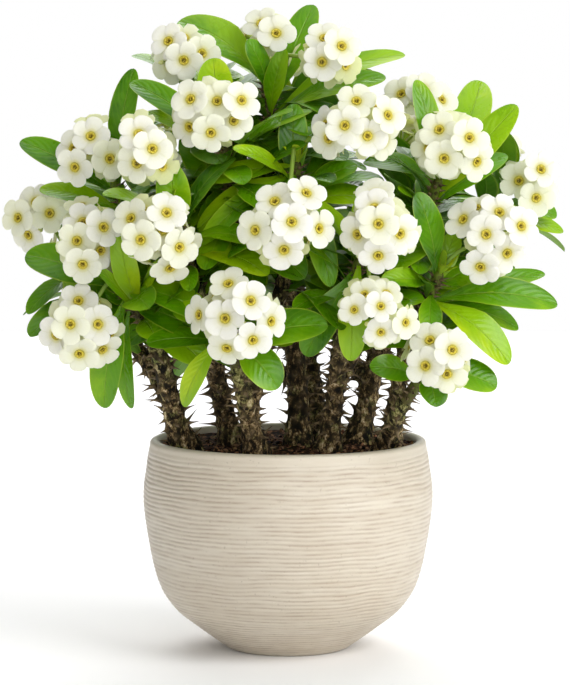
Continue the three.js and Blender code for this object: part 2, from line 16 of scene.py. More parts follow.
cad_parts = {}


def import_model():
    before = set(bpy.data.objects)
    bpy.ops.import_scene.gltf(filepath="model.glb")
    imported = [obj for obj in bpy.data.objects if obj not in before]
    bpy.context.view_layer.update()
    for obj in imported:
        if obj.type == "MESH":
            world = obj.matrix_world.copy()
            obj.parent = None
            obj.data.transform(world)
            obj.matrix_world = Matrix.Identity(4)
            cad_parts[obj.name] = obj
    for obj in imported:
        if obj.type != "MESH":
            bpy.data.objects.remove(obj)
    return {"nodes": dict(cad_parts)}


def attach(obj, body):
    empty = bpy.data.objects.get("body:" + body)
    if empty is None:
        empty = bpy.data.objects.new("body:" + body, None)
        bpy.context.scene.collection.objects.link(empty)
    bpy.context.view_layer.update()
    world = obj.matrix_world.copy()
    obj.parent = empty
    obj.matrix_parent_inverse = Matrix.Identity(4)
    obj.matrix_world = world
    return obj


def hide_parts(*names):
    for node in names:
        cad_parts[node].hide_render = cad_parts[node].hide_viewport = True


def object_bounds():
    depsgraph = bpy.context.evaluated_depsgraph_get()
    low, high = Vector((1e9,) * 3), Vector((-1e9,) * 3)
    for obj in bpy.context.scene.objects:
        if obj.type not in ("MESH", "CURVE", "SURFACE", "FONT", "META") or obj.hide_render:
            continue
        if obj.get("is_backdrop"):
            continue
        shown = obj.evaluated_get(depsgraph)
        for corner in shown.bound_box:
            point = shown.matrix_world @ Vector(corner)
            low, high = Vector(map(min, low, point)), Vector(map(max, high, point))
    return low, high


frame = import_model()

CAD_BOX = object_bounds()

# ---- sizes and rules, as in the solids

MM = 0.001
GAP = 0.35
GOLDEN = 137.508
POT = {
    "outline": [(45.3, 0), (69, 17), (88.5, 33.6), (101, 58), (110, 110), (107.5, 142), (105, 155)],
    "lip": [(104.6, 158), (102.5, 159.7), (99.5, 159.7), (97.3, 158)],
    "inside": [(97, 152), (101.8, 112), (93, 56), (78, 31), (52, 12)],
}
SOIL = {"edge": 151, "mound": 2.5, "rim": 97, "depth": 25, "rough": [(1.5, 0.09), (1.1, 0.31), (0.6, 0.9)]}
BARK = {"end": 6, "fork_step": 0.8, "root_pull": 0.4, "fork_pull": 0.25, "foot_pull": 0.3,
        "pitch": 25, "spine": 13, "varies": 2.5, "beat": 1.7, "rise": 0.25}
SHOOT = {"length": 40, "radius": 5, "tip": 4, "fan": (0, 0, 60), "top": 0.9, "apart": 0.17, "places": 5,
         "low": 0.15, "span": 0.75, "turn": 53}
STALK = {"radius": 1.5, "spread": 2.3, "lift": 0.05, "rise": 0.45}
FLOWER = {"radius": 15, "turn": 0.3, "lobe": 21, "dish": 2}
HEAD = {"radius": 30, "sight": 6, "shallow": 100, "back": (0, 1, 0.25), "cap": 72, "spiral": 60,
        "levels": [0, 1.2, -1.2, 2.4, -2.4, 3.6, -3.6, 4.8, -4.8, 6, -6, 7.2, -7.2, 8.4, 9.6, 10.8, 12]}
LEAF = {"rows": (0, 0.45, 0.82), "half": (0.11, 0.92, 0.92), "root": 2.6, "fold": 0.16, "arch": 0.1,
        "length": 64, "varies": 9, "beat": 2.1, "width": 27, "lean": 98, "straighter": 48,
        "faces": (0, -1.1, 0.35)}
LEAN = 0.008

# Leafy shoots: the tip, how many leaves the rule adds, and the other leaves as [x, y, z, width].
SHOOTS = {
    "s01": {"tip": [-122, -85, 284], "more": 1, "leaves": [
        [-193, -75, 306, 31], [-123, -114, 326, 20], [-92, -115, 304, 14], [-142, -104, 300, 9],
        [-96, -108, 246, 21], [-62, -98, 228, 27], [-136, -88, 193, 27], [-116, -62, 190, 14]]},
    "s02": {"tip": [-83, -107, 337], "more": 3, "leaves": [[-86, -106, 374, 25]]},
    "s03": {"tip": [-130, -42, 358], "more": 3, "leaves": [
        [-114, -45, 441, 22], [-200, -30, 386, 24], [-158, -28, 406, 20], [-186, -22, 350, 18]]},
    "s04": {"tip": [-158, 17, 288], "more": 3, "leaves": [[-197, -8, 256, 20], [-194, -25, 240, 26]]},
    "s05": {"tip": [-70, -22, 425], "more": 4, "leaves": [[-35, 2, 436, 24]]},
    "s06": {"tip": [-48, -86, 390], "more": 3, "leaves": [[-116, -58, 432, 21], [-106, -40, 408, 14]]},
    "s07": {"tip": [-16, -30, 435], "more": 1, "leaves": [
        [-82, -4, 476, 33], [-31, -54, 462, 21], [-2, -48, 456, 17], [87, -20, 452, 21],
        [72, -62, 434, 24], [19, -2, 488, 25]]},
    "s08": {"tip": [6, -88, 375], "more": 0, "leaves": [
        [-60, -95, 361, 20], [-67, -88, 325, 20], [-40, -120, 385, 15], [4, -108, 416, 22],
        [50, -72, 372, 20], [61, -80, 348, 20], [-64, -106, 315, 18], [31, -116, 285, 21]]},
    "s09": {"tip": [112, -58, 361], "more": 1, "leaves": [
        [94, -62, 433, 20], [146, 10, 430, 29], [169, -58, 414, 25], [163, -38, 377, 18],
        [80, -102, 354, 16], [57, -28, 371, 22]]},
    "s10": {"tip": [52, -105, 305], "more": 2, "leaves": [[45, -122, 231, 22], [12, -102, 233, 25]]},
    "s11": {"tip": [112, -82, 293], "more": 0, "leaves": [
        [94, -84, 352, 24], [68, -114, 289, 18], [103, -112, 246, 18], [199, -70, 269, 27],
        [191, -50, 290, 16], [171, -50, 248, 20], [162, -92, 226, 28], [124, -70, 322, 17]]},
    "s12": {"tip": [106, -92, 228], "more": 1, "leaves": [
        [153, -92, 209, 27], [108, -112, 197, 22], [60, -110, 226, 22]]},
    "s13": {"tip": [-45, -122, 260], "more": 1, "leaves": [
        [-83, -114, 268, 20], [-76, -104, 196, 17], [-7, -132, 212, 28], [28, -136, 259, 30]]},
    "s14": {"tip": [160, 30, 345], "more": 4, "leaves": [
        [184, -6, 362, 22], [203, 5, 328, 25], [209, 12, 316, 18]]},
    "s15": {"tip": [0, 70, 412], "more": 5},
    "s16": {"tip": [-102, 80, 338], "more": 4},
    "s17": {"tip": [100, 82, 338], "more": 5},
    "s18": {"tip": [0, 132, 325], "more": 4},
    "s19": {"tip": [-58, 130, 252], "more": 5},
    "s20": {"tip": [58, 130, 252], "more": 5},
}

# Stems: where each stands, its radius, and its limbs as [shoot, fork], the fork being the share of
# the first limb at which another leaves it.
STEMS = {
    "stem_1": {"root": [-66, -10], "radius": 10.5, "limbs": [["s01", 0], ["s04", 0.4]]},
    "stem_2": {"root": [-36, 22], "radius": 9, "limbs": [["s02", 0], ["s03", 0.5]]},
    "stem_3": {"root": [-20, -38], "radius": 9.5, "limbs": [["s13", 0], ["s08", 0.4]]},
    "stem_4": {"root": [7, 13], "radius": 9.5, "limbs": [["s07", 0], ["s06", 0.5], ["s05", 0.6]]},
    "stem_5": {"root": [25, -12], "radius": 9, "limbs": [["s10", 0], ["s09", 0.4]]},
    "stem_6": {"root": [64, -14], "radius": 10, "limbs": [["s12", 0], ["s11", 0.4]]},
    "stem_7": {"root": [45, 30], "radius": 9.5, "limbs": [["s17", 0], ["s14", 0.4], ["s20", 0.3]]},
    "stem_8": {"root": [20, 50], "radius": 9.5, "limbs": [
        ["s18", 0], ["s16", 0.4], ["s15", 0.5], ["s19", 0.3]]},
}

# Flower heads: the shoot, the heart, the way the head faces, its front flowers as [right, up], and
# how far out its flowers are and their radius, where these aren't the usual ones.
HEADS = {
    "a": {"on": "s05", "heart": [-78, -25, 450], "reach": 26, "flowers": [
        [-13, 11], [1, -6], [18, 0], [-16, -15]]},
    "b": {"on": "s07", "heart": [-12, -15, 458], "reach": 26, "flowers": [[-10, 18], [3, 6]]},
    "c": {"on": "s07", "heart": [27, -72, 450], "reach": 26, "flowers": [[-3, -7], [11, 5], [-1, 20]]},
    "d": {"on": "s06", "heart": [-52, -106, 407], "flowers": [
        [1, 10], [-3, -12], [16, -5], [-20, -9], [-15, 9], [15, 8]]},
    "e": {"on": "s08", "heart": [48, -112, 399], "flowers": [
        [1, 19], [-7, 0], [-20, -9], [10, -8], [26, -12], [21, 7], [-28, 3]]},
    "f": {"on": "s09", "heart": [117, -85, 384], "flowers": [
        [-8, 12], [-4, -9], [11, 4], [21, -12], [-21, -2]]},
    "g": {"on": "s09", "heart": [96, -30, 411], "reach": 24, "flowers": [[-16, 13], [4, 13], [24, 8]]},
    "h": {"on": "s03", "heart": [-144, -50, 377], "flowers": [[-1, 13], [-12, -10], [12, -4], [-20, 6]]},
    "i": {"on": "s02", "heart": [-104, -115, 381], "flowers": [[-3, 13], [6, 1], [-6, -11]]},
    "j": {"on": "s04", "heart": [-182, 8, 326], "reach": 26, "flowers": [
        [-10, 15], [3, 3], [-19, 0], [-17, -15]]},
    "k": {"on": "s01", "heart": [-146, -90, 319], "flowers": [
        [-7, -4], [11, 5], [13, -14], [-2, -17], [-4, 14]]},
    "l": {"on": "s02", "heart": [-94, -135, 323], "flowers": [
        [-19, 12], [-10, -4], [6, 4], [16, -9], [10, -25], [7, 14]]},
    "m": {"on": "s08", "heart": [-1, -147, 330], "flowers": [
        [-9, 18], [12, 20], [3, 2], [-20, -3], [24, -2], [-2, -18]]},
    "n": {"on": "s10", "heart": [65, -137, 331], "flowers": [
        [-4, 11], [-1, -1], [-18, -9], [15, -8], [-1, -20], [-3, 26]]},
    "o": {"on": "s11", "heart": [147, -94, 321], "flowers": [
        [-21, 11], [-15, 29], [6, 16], [-4, -1], [12, -15], [-7, -21], [17, 4]]},
    "p": {"on": "s14", "heart": [180, 10, 350], "reach": 25, "flowers": [
        [-8, 5], [6, -9], [8, 10], [20, 0]]},
    "q": {"on": "s14", "heart": [157, 60, 366], "reach": 25, "flowers": [[12, 19]]},
    "r": {"on": "s01", "heart": [-151, -97, 255], "flowers": [
        [-1, 18], [13, 0], [-5, 0], [-18, -8], [0, -19], [17, -19]]},
    "s": {"on": "s13", "heart": [-37, -150, 266], "flowers": [
        [-6, 24], [-8, -2], [9, 9], [-7, -24], [11, -16], [-28, 1], [26, -4]]},
    "t": {"on": "s10", "heart": [62, -140, 267], "radius": 12, "flowers": [
        [-8, 14], [-13, 2], [3, 4], [4, -14], [20, -6], [10, 18]]},
    "u": {"on": "s12", "heart": [110, -118, 232], "flowers": [[-12, -5], [7, 6], [6, -15], [-10, 17]]},
    "v1": {"on": "s15", "heart": [0, 82, 436], "faces": [0, 0.5, 0.85]},
    "v2": {"on": "s16", "heart": [-98, 102, 376], "faces": [-0.5, 0.65, 0.55]},
    "v3": {"on": "s17", "heart": [88, 110, 374], "faces": [0.45, 0.7, 0.55]},
    "v4": {"on": "s16", "heart": [-138, 94, 305], "faces": [-0.75, 0.6, 0.25]},
    "v5": {"on": "s18", "heart": [0, 157, 336], "faces": [0, 0.95, 0.35]},
    "v6": {"on": "s17", "heart": [138, 94, 305], "faces": [0.75, 0.6, 0.25]},
    "v7": {"on": "s19", "heart": [-68, 152, 262], "faces": [-0.4, 0.9, 0.1]},
    "v8": {"on": "s20", "heart": [68, 152, 262], "faces": [0.4, 0.9, 0.1]},
    "v9": {"on": "s04", "heart": [-148, 58, 292], "faces": [-0.75, 0.6, 0.25]},
}

# ---- vectors and curves


def along(point, direction, distance):
    return point + direction * distance


def toward(a, b):
    return (b - a).normalized()


def sides(direction):
    """Two directions square to a third, the same for the same direction."""
    reference = Vector((0, 0, 1)) if abs(direction.z) < 0.8 else Vector((1, 0, 0))
    u = reference.cross(direction).normalized()
    return u, direction.cross(u)


def swung(u, v, angle):
    """A direction turned from u towards v."""
    return u * cos(angle) + v * sin(angle)


def square_to(vector, axis):
    return (vector - axis * vector.dot(axis)).normalized()


def carried(directions):
    """For each of the directions along a line, two that are square to it and don't twist."""
    turned = None
    for direction in directions:
        turned = square_to(turned, direction) if turned else sides(direction)[0]
        yield turned, direction.cross(turned)


def lengths_along(points):
    """How far along a line each of its points is."""
    return np.concatenate([[0], np.cumsum([(b - a).length for a, b in zip(points, points[1:])])])


class Bezier:
    """A cubic curve through its first and last points."""

    DIVISIONS = 120

    def __init__(self, *points):
        self.points = [Vector(p) for p in points]
        self.lengths = lengths_along([self.at(k / self.DIVISIONS) for k in range(self.DIVISIONS + 1)])
        self.length = self.lengths[-1]

    def at(self, t):
        a, b, c, d = self.points
        s = 1 - t
        return a * s ** 3 + b * (3 * s * s * t) + c * (3 * s * t * t) + d * t ** 3

    def tangent(self, t):
        a, b, c, d = self.points
        s = 1 - t
        return ((b - a) * s * s + (c - b) * (2 * s * t) + (d - c) * t * t).normalized()

    def by_length(self, share):
        """The t at a share of the curve's length."""
        return float(np.interp(share * self.length, self.lengths, np.linspace(0, 1, len(self.lengths))))


def smooth_line(points, count):
    """A smooth line through the points, in count even steps."""
    line = []
    for k in range(count + 1):
        place = (len(points) - 1) * (k / count)
        i = min(int(place), len(points) - 2)
        w = place - i
        p0, p1 = Vector(points[max(i - 1, 0)]), Vector(points[i])
        p2, p3 = Vector(points[i + 1]), Vector(points[min(i + 2, len(points) - 1)])
        v0, v1 = (p2 - p0) * 0.5, (p3 - p1) * 0.5
        bent = (p1 * 2 - p2 * 2 + v0 + v1) * w ** 3 + (p2 * 3 - p1 * 3 - v0 * 2 - v1) * w ** 2
        line.append(bent + v0 * w + p1)
    return line


def smooth(x):
    x = min(max(x, 0), 1)
    return x * x * (3 - 2 * x)


# ---- meshes


def added(name, data):
    """A new object in the scene."""
    made = bpy.data.objects.new(name, data)
    bpy.context.scene.collection.objects.link(made)
    return made


class Skin:
    """The points and faces of one piece. Each point has a coat of three numbers for the materials
    to read, and each face a material slot. POLE and PLUMP shape the ends of an egg."""

    POLE, PLUMP = 0.04, 0.8

    def __init__(self):
        self.points, self.coats, self.faces, self.slots = [], [], [], []

    def add(self, points, coats, faces, slot=0):
        start = len(self.points)
        self.points.extend(points)
        self.coats.extend(coats)
        self.faces.extend(tuple(start + i for i in face) for face in faces)
        self.slots.extend([slot] * len(faces))

    def loft(self, rings, coats, slot=0, flat=False):
        """A closed skin over rings of one size. coats has one coat for each point of each ring.
        Flat rings run along the top of a blade and back along its underside."""
        count = len(rings[0])
        faces = []
        for r in range(len(rings) - 1):
            for i in range(count):
                j = (i + 1) % count
                a, b = r * count, (r + 1) * count
                faces.append((a + i, a + j, b + j, b + i))
        last = (len(rings) - 1) * count
        for cap in self.flat_cap(count) if flat else [range(count)]:
            faces.append(tuple(reversed(cap)))
            faces.append(tuple(last + i for i in cap))
        self.add([p for ring in rings for p in ring], [c for ring in coats for c in ring], faces, slot)

    @staticmethod
    def flat_cap(count):
        """The faces that close the end of a blade: a strip from its top to its underside."""
        half = count // 2
        yield 0, 1, count - 1
        for i in range(1, half - 1):
            yield i, i + 1, count - i - 1, count - i
        yield half - 1, half, half + 1

    def tube(self, path, radii, count, slot=0, coat=None):
        """A round tube along points, closed at both ends."""
        last = len(path) - 1
        directions = [toward(path[max(k - 1, 0)], path[min(k + 1, last)]) for k in range(last + 1)]
        rings, coats = [], []
        for k, (u, v) in enumerate(carried(directions)):
            rings.append([path[k] + swung(u, v, 2 * pi * i / count) * radii[k] for i in range(count)])
            coats.append([coat(k / last) if coat else (k / last, 0, 0)] * count)
        self.loft(rings, coats, slot)

    def ball(self, centre, axis, length, radius, slot=0, coat=(0, 0, 0), count=8, rows=6):
        """An egg-shaped body along an axis."""
        path = [along(centre, axis, length * (k / rows - 0.5)) for k in range(rows + 1)]
        radii = [radius * max(sin(pi * k / rows), self.POLE) ** self.PLUMP for k in range(rows + 1)]
        self.tube(path, radii, count, slot, lambda share: coat)

    def piece(self, name, nodes, materials, crease=None):
        """The Blender object, kept inside the solids' box. It stands for CAD nodes and rides on the
        one body."""
        mesh = bpy.data.meshes.new(name)
        points = np.array([tuple(p) for p in self.points]) * MM
        mesh.from_pydata(np.clip(points, *CAD_BOX).tolist(), [], self.faces)
        coat = mesh.attributes.new("coat", "FLOAT_VECTOR", "POINT")
        coat.data.foreach_set("vector", np.array(self.coats, np.float32).ravel())
        for material in materials:
            mesh.materials.append(material)
        mesh.polygons.foreach_set("material_index", np.array(self.slots, np.int32))
        mesh.shade_smooth()
        mesh.update()
        if crease:
            mesh.set_sharp_from_angle(angle=radians(crease))
        made = added(name, mesh)
        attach(made, "root")
        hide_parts(*nodes)


def tree_of(points):
    tree = KDTree(len(points))
    for i, point in enumerate(points):
        tree.insert(point, i)
    tree.balance()
    return tree


TOLERANCE = 0.05


def corner_test(node):
    """A function that tells whether a point is a corner of a CAD node's mesh."""
    tree = tree_of([vertex.co / MM for vertex in frame["nodes"][node].data.vertices])
    return lambda point: tree.find(point)[2] < TOLERANCE


# ---- materials


def srgb(*levels):
    """A colour as it shows on a screen, red, green and blue from 0 to 255, as Blender's linear one."""
    return [((c / 255 + 0.055) / 1.055) ** 2.4 if c > 10 else c / 255 / 12.92 for c in levels] + [1]


class Nodes:
    """Builds a material out of nodes, with short names for the few kinds that the scene uses."""

    def __init__(self, name):
        self.material = bpy.data.materials.new(name)
        self.material.use_nodes = True
        self.tree = self.material.node_tree
        self.shader = self.tree.nodes["Principled BSDF"]

    def fill(self, node, inputs):
        """Gives inputs their values: another node's output, a number, or a colour as it shows on a
        screen. None leaves an input as it is."""
        for key, value in inputs.items():
            if isinstance(value, bpy.types.NodeSocket):
                self.tree.links.new(value, node.inputs[key])
            elif value is not None:
                node.inputs[key].default_value = srgb(*value) if isinstance(value, tuple) else value

    def new(self, kind, output, inputs, **settings):
        """An output of a new node."""
        node = self.tree.nodes.new("ShaderNode" + kind)
        for key, value in settings.items():
            setattr(node, key, value)
        self.fill(node, inputs)
        return node.outputs[output]

    def math(self, operation, a, b=0):
        return self.new("Math", 0, {0: a, 1: b}, operation=operation)

    def plus(self, a, b):
        return self.math("ADD", a, b)

    def minus(self, a, b):
        return self.math("SUBTRACT", a, b)

    def times(self, a, b):
        return self.math("MULTIPLY", a, b)

    def coat(self):
        return self.new("Attribute", "Vector", {}, attribute_name="coat")

    def coats(self):
        """The coat's three numbers."""
        return self.new("SeparateXYZ", 0, {0: self.coat()}).node.outputs

    def place(self):
        return self.new("TexCoord", "Object", {})

    def stretched(self, vector, *scale):
        return self.new("Mapping", 0, {"Vector": vector, "Scale": list(scale)})

    def noise(self, scale, detail=3, rough=0.55, vector=None):
        return self.new("TexNoise", "Fac", {"Scale": scale, "Detail": detail, "Roughness": rough,
                                            "Vector": vector or self.place()})

    def ramp(self, value, *stops):
        """Colours or numbers for a few values, as (value, colour), and what is between them."""
        output = self.new("ValToRGB", 0, {0: value})
        ramp = output.node.color_ramp
        ramp.interpolation = "EASE"
        while len(ramp.elements) < len(stops):
            ramp.elements.new(0.5)
        for element, (position, colour) in zip(ramp.elements, stops):
            element.position = position
            element.color = srgb(*colour) if isinstance(colour, tuple) else (colour, colour, colour, 1)
        return output

    def mix(self, share, a, b):
        return self.new("Mix", "Result", {"Factor": share, "A": a, "B": b}, data_type="RGBA")

    def bump(self, height, distance, strength, under=None):
        """A normal from a height, with the distance in millimetres, on top of another normal."""
        return self.new("Bump", 0, {"Strength": strength, "Distance": distance * MM, "Height": height,
                                    "Normal": under})

    def let_light_through(self, share, colour):
        """Mixes in light from behind, as through a leaf or a petal."""
        light = self.new("BsdfTranslucent", 0, {"Color": colour})
        mixed = self.new("MixShader", 0, {0: share, 1: self.shader.outputs[0], 2: light})
        self.fill(self.tree.nodes["Material Output"], {"Surface": mixed})

    def finish(self, colour, normal, roughness, specular):
        """The material, once its shader has these."""
        self.fill(self.shader, {"Base Color": colour, "Normal": normal, "Roughness": roughness,
                                "Specular IOR Level": specular})
        return self.material


def stoneware():
    """Matte stoneware: speckled, with painted shade darkening the grooves. coat: x is how deep in a groove,
    which sets that painted shade, y how much soil clings to it."""
    n = Nodes("stoneware")
    groove, stained, _ = n.coats()
    streak = n.noise(3, 5, 0.6, n.stretched(n.place(), 3, 3, 70))
    clay = n.ramp(streak, (0.3, (198, 187, 169)), (0.7, (208, 199, 182)))
    blotch = n.noise(14, 5, 0.65)
    clay = n.mix(n.ramp(blotch, (0.4, 0), (0.75, 0.35)), clay, (191, 177, 154))
    broken = n.noise(90, 4, 0.7, n.stretched(n.place(), 1, 1, 3))
    # Painted shade: the grooves are darkened, more where they are cut deeper.
    groove_shade = n.times(groove, n.ramp(broken, (0.35, 0.4), (0.65, 0.85)))
    clay = n.mix(groove_shade, clay, (146, 123, 105))
    soiled = n.times(stained, n.ramp(broken, (0.3, 1), (0.7, 0.75)))
    clay = n.mix(soiled, clay, (52, 38, 27))
    speck = n.noise(480, 2, 0.5)
    clay = n.mix(n.ramp(speck, (0.66, 0), (0.74, 0.3)), clay, (124, 106, 86))
    grain = n.bump(n.noise(800, 4, 0.7), 0.15, 0.5)
    gloss = n.ramp(streak, (0.2, 0.54), (0.8, 0.38))
    return n.finish(clay, n.bump(broken, 0.3, 0.5, grain), gloss, 0.7)


def potting_soil():
    """Dark red-brown soil: crumbs of several browns, a few paler bits. coat: z is how pale."""
    n = Nodes("soil")
    crumb = n.noise(190, 6, 0.7)
    _, _, pale = n.coats()
    colour = n.ramp(crumb, (0.42, (6, 2, 0)), (0.52, (66, 40, 25)), (0.64, (176, 128, 96)))
    colour = n.mix(n.times(pale, 0.8), colour, (176, 140, 106))
    fine = n.bump(n.noise(700, 3), 0.5, 0.6)
    return n.finish(colour, n.bump(crumb, 1.6, 0.8, fine), 0.95, 0.15)


def bark():
    """Old wood: brown, scarred and fissured, mossy in patches and olive where it is younger. Its own
    browns carry painted shade, dark in the fissures, and painted highlights, pale on the crests.
    coat: x is how young the wood is, y how near it is to a spine's foot."""
    n = Nodes("bark")
    young, foot, _ = n.coats()
    patch = n.noise(70, 6, 0.7)
    fibre = n.noise(200, 6, 0.75, n.stretched(n.place(), 1, 1, 0.55))
    # The fibre noise also makes the bump: its low fissures are painted near black as shade and its high
    # crests pale as highlights, over the wood's own browns.
    wood = n.ramp(fibre, (0.45, (3, 2, 0)), (0.51, (62, 47, 25)), (0.57, (150, 126, 88)),
                  (0.66, (230, 212, 176)))
    green = n.ramp(fibre, (0.45, (5, 7, 0)), (0.6, (132, 142, 76)))
    share = n.plus(n.times(young, 0.6), n.ramp(patch, (0.5, 0), (0.66, 0.7)))
    wood = n.mix(n.math("MINIMUM", share, 0.9), wood, green)
    wood = n.mix(n.times(foot, 0.4), wood, (142, 122, 86))
    return n.finish(wood, n.bump(fibre, 1.2, 0.9, n.bump(patch, 1.6, 0.8)), 0.86, 0.2)


def patchy(name, tones, pattern, patches, patch_colour, relief, *gloss):
    """A skin whose colour runs along coat x from its root to its end, with patches of one more."""
    n = Nodes(name)
    share, _, _ = n.coats()
    patch = n.noise(*pattern)
    low, high, most = patches
    colour = n.mix(share, *tones) if len(tones) == 2 else n.ramp(share, *tones)
    colour = n.mix(n.ramp(patch, (low, 0), (high, most)), colour, patch_colour)
    return n.finish(colour, n.bump(patch, *relief), *gloss)


def thorn():
    """A spine: brown like the bark at its foot, paler further out, with a dark tip."""
    tones = [(0, (78, 62, 38)), (0.3, (120, 102, 72)), (0.6, (134, 114, 84)), (0.9, (52, 38, 28))]
    return patchy("thorn", tones, (240, 5, 0.7), (0.38, 0.66, 0.75), (48, 38, 22), (0.5, 0.7), 0.65, 0.3)


def green_bark():
    """The green skin of a shoot, browner low down, with scars."""
    tones = (72, 66, 28), (98, 118, 28)
    return patchy("green_bark", tones, (130, 5, 0.7), (0.42, 0.6, 0.9), (58, 44, 22), (0.8, 0.7),
                  0.6, 0.25)


def gland():
    """The olive-yellow glands and dark cup in a flower's middle."""
    tones = [(0, (112, 92, 16)), (0.3, (84, 74, 8)), (0.5, (188, 168, 38)), (0.82, (214, 198, 78)),
             (1, (128, 122, 20))]
    return patchy("gland", tones, (900, 3, 0.6), (0.4, 0.7, 0.45), (150, 124, 14), (0.2, 0.6), 0.45, 0.3)


def stalk():
    """The smooth green stalks of a flower head, yellower towards the flowers."""
    tones = (96, 136, 30), (186, 204, 88)
    return patchy("stalk", tones, (160, 3, 0.5), (0.45, 0.75, 0.4), (140, 132, 52), (0.2, 0.5), 0.5, 0.5)


def leaf():
    """A leaf: glossy green above, paler and duller below, with a pale midrib, faint curved side
    veins and a thin pale margin, and painted light and shade that makes one half of the blade a
    little lighter than the other. coat: x runs from root to tip, y across from -1 to 1 above and
    from 3 to 5 below, z is how young the leaf is, and lower, so darker, as painted shade on the
    leaves inside the crown."""
    n = Nodes("leaf")
    up, across, young = n.coats()
    below = n.math("GREATER_THAN", across, 2)
    flat = n.minus(across, n.times(below, 4))
    off = n.math("ABSOLUTE", flat)
    cloud = n.noise(34, 4, 0.6)
    tone = n.plus(young, n.times(n.minus(cloud, 0.5), 0.7))
    # Painted light and shade: one half of the blade, across the midrib, is a little lighter than the other.
    tone = n.plus(tone, n.times(flat, 0.12))
    blade_green = n.ramp(tone, (0, (54, 110, 0)), (0.3, (98, 158, 0)), (0.6, (148, 194, 2)),
                         (1, (206, 226, 12)))
    # Side veins leave the midrib at a slant and bend towards the tip.
    bend = n.times(n.math("POWER", off, 1.4), 2.6)
    slant = n.minus(n.times(up, 10), bend)
    wave = n.math("PINGPONG", n.plus(slant, n.times(cloud, 1.1)), 0.5)
    vein = n.ramp(wave, (0, 1), (0.1, 0.3), (0.22, 0))
    rib = n.ramp(n.plus(off, n.times(up, 0.03)), (0.03, 1), (0.08, 0))
    margin = n.ramp(off, (0.9, 0), (0.98, 1))
    blade_green = n.mix(n.times(vein, 0.14), blade_green, (160, 196, 40))
    blade_green = n.mix(n.times(rib, 0.4), blade_green, (164, 200, 60))
    blade_green = n.mix(n.times(margin, 0.55), blade_green, (188, 212, 64))
    blade_green = n.mix(n.times(below, 0.4), blade_green, (118, 156, 60))
    quilt = n.times(wave, n.minus(1, off))
    relief = n.minus(n.times(quilt, 0.8), n.times(rib, 0.9))
    relief = n.times(relief, n.minus(1, n.times(below, 1.7)))
    fine = n.bump(n.noise(900, 3, 0.6), 0.08, 0.35)
    gloss = n.plus(n.times(below, 0.25), n.ramp(cloud, (0.3, 0.24), (0.7, 0.36)))
    n.let_light_through(0.25, n.mix(0.4, blade_green, (170, 210, 4)))
    return n.finish(blade_green, n.bump(relief, 1.1, 0.65, fine), gloss, 0.45)


def petal():
    """A petal: milky white, pale yellow close to the middle, with soft veins that fan out, and painted
    shade, greyer and yellower, along its sides where petals meet.
    coat: x is the share of the flower's radius, y runs across the petal, z is its tone, which is higher, so
    yellower, as painted shade on the flowers added deeper in a head."""
    n = Nodes("petal")
    out, across, tone = n.coats()
    # A higher tone is yellower: on the flowers added deeper in a head it is painted shade.
    white = n.ramp(tone, (0, (251, 250, 247)), (0.5, (249, 249, 240)), (1, (236, 239, 192)))
    halo = n.ramp(out, (0.24, 0.95), (0.33, 0.45), (0.46, 0.1), (0.7, 0))
    colour = n.mix(halo, white, (226, 218, 104))
    fan = n.noise(26, 3, 0.5, n.stretched(n.coat(), 0.1, 1, 0.4))
    colour = n.mix(n.ramp(fan, (0.48, 0), (0.74, 0.22)), colour, (224, 219, 208))
    # Painted shade: each petal is greyer and yellower towards its sides, along the seams between petals.
    edge = n.ramp(n.math("ABSOLUTE", across), (0.75, 0), (1, 0.35))
    colour = n.mix(edge, colour, (222, 222, 190))
    # The light let through grows yellower with the tone too, part of the same painted shade deeper in a
    # head.
    yellow = n.plus(n.times(tone, 0.7), 0.1)
    n.let_light_through(0.42, n.mix(yellow, colour, (240, 244, 164)))
    fine = n.bump(n.noise(500, 3), 0.06, 0.4)
    return n.finish(colour, n.bump(fan, 0.6, 0.6, fine), 0.6, 0.2)


def paper():
    """The white ground, hardly clouded."""
    n = Nodes("floor")
    colour = n.ramp(n.noise(1.2, 2, 0.5), (0.3, (252, 252, 252)), (0.7, (254, 254, 254)))
    return n.finish(colour, None, 0.9, 0.1)


STONEWARE, EARTH, BARK_SKIN, THORN = stoneware(), potting_soil(), bark(), thorn()
SHOOT_SKIN, LEAF_SKIN, PETAL_SKIN, GLAND, STALK_SKIN = green_bark(), leaf(), petal(), gland(), stalk()

# ---- pot and soil


def ring_points(radius, height, count):
    return [Vector((radius * cos(2 * pi * i / count), radius * sin(2 * pi * i / count), height))
            for i in range(count)]


# The ridges: their pitch and depth, how sharp a groove is, how deep it is cut where it is worn, and
# the noise that wears them, waves them up and down and makes the wall uneven, as a scale round the
# pot, one up it and a size.
RIDGES = {"pitch": 3.4, "depth": 0.85, "sharp": 0.6, "steps": 5, "sides": 180, "first": 3, "cut": 0.92,
          "least": 0.35, "most": 1.15, "from_foot": 12, "to_lip": 8}
WORN, WAVED, UNEVEN = (6, 0.45, 1.1), (3, 0.05, 1.5), (2.2, 0.2, 0.2)
FOOT = [(-1.8, 0), (-0.7, 0.4)]
ROWS = {"outline": 600, "lip": 14, "inside": 8}


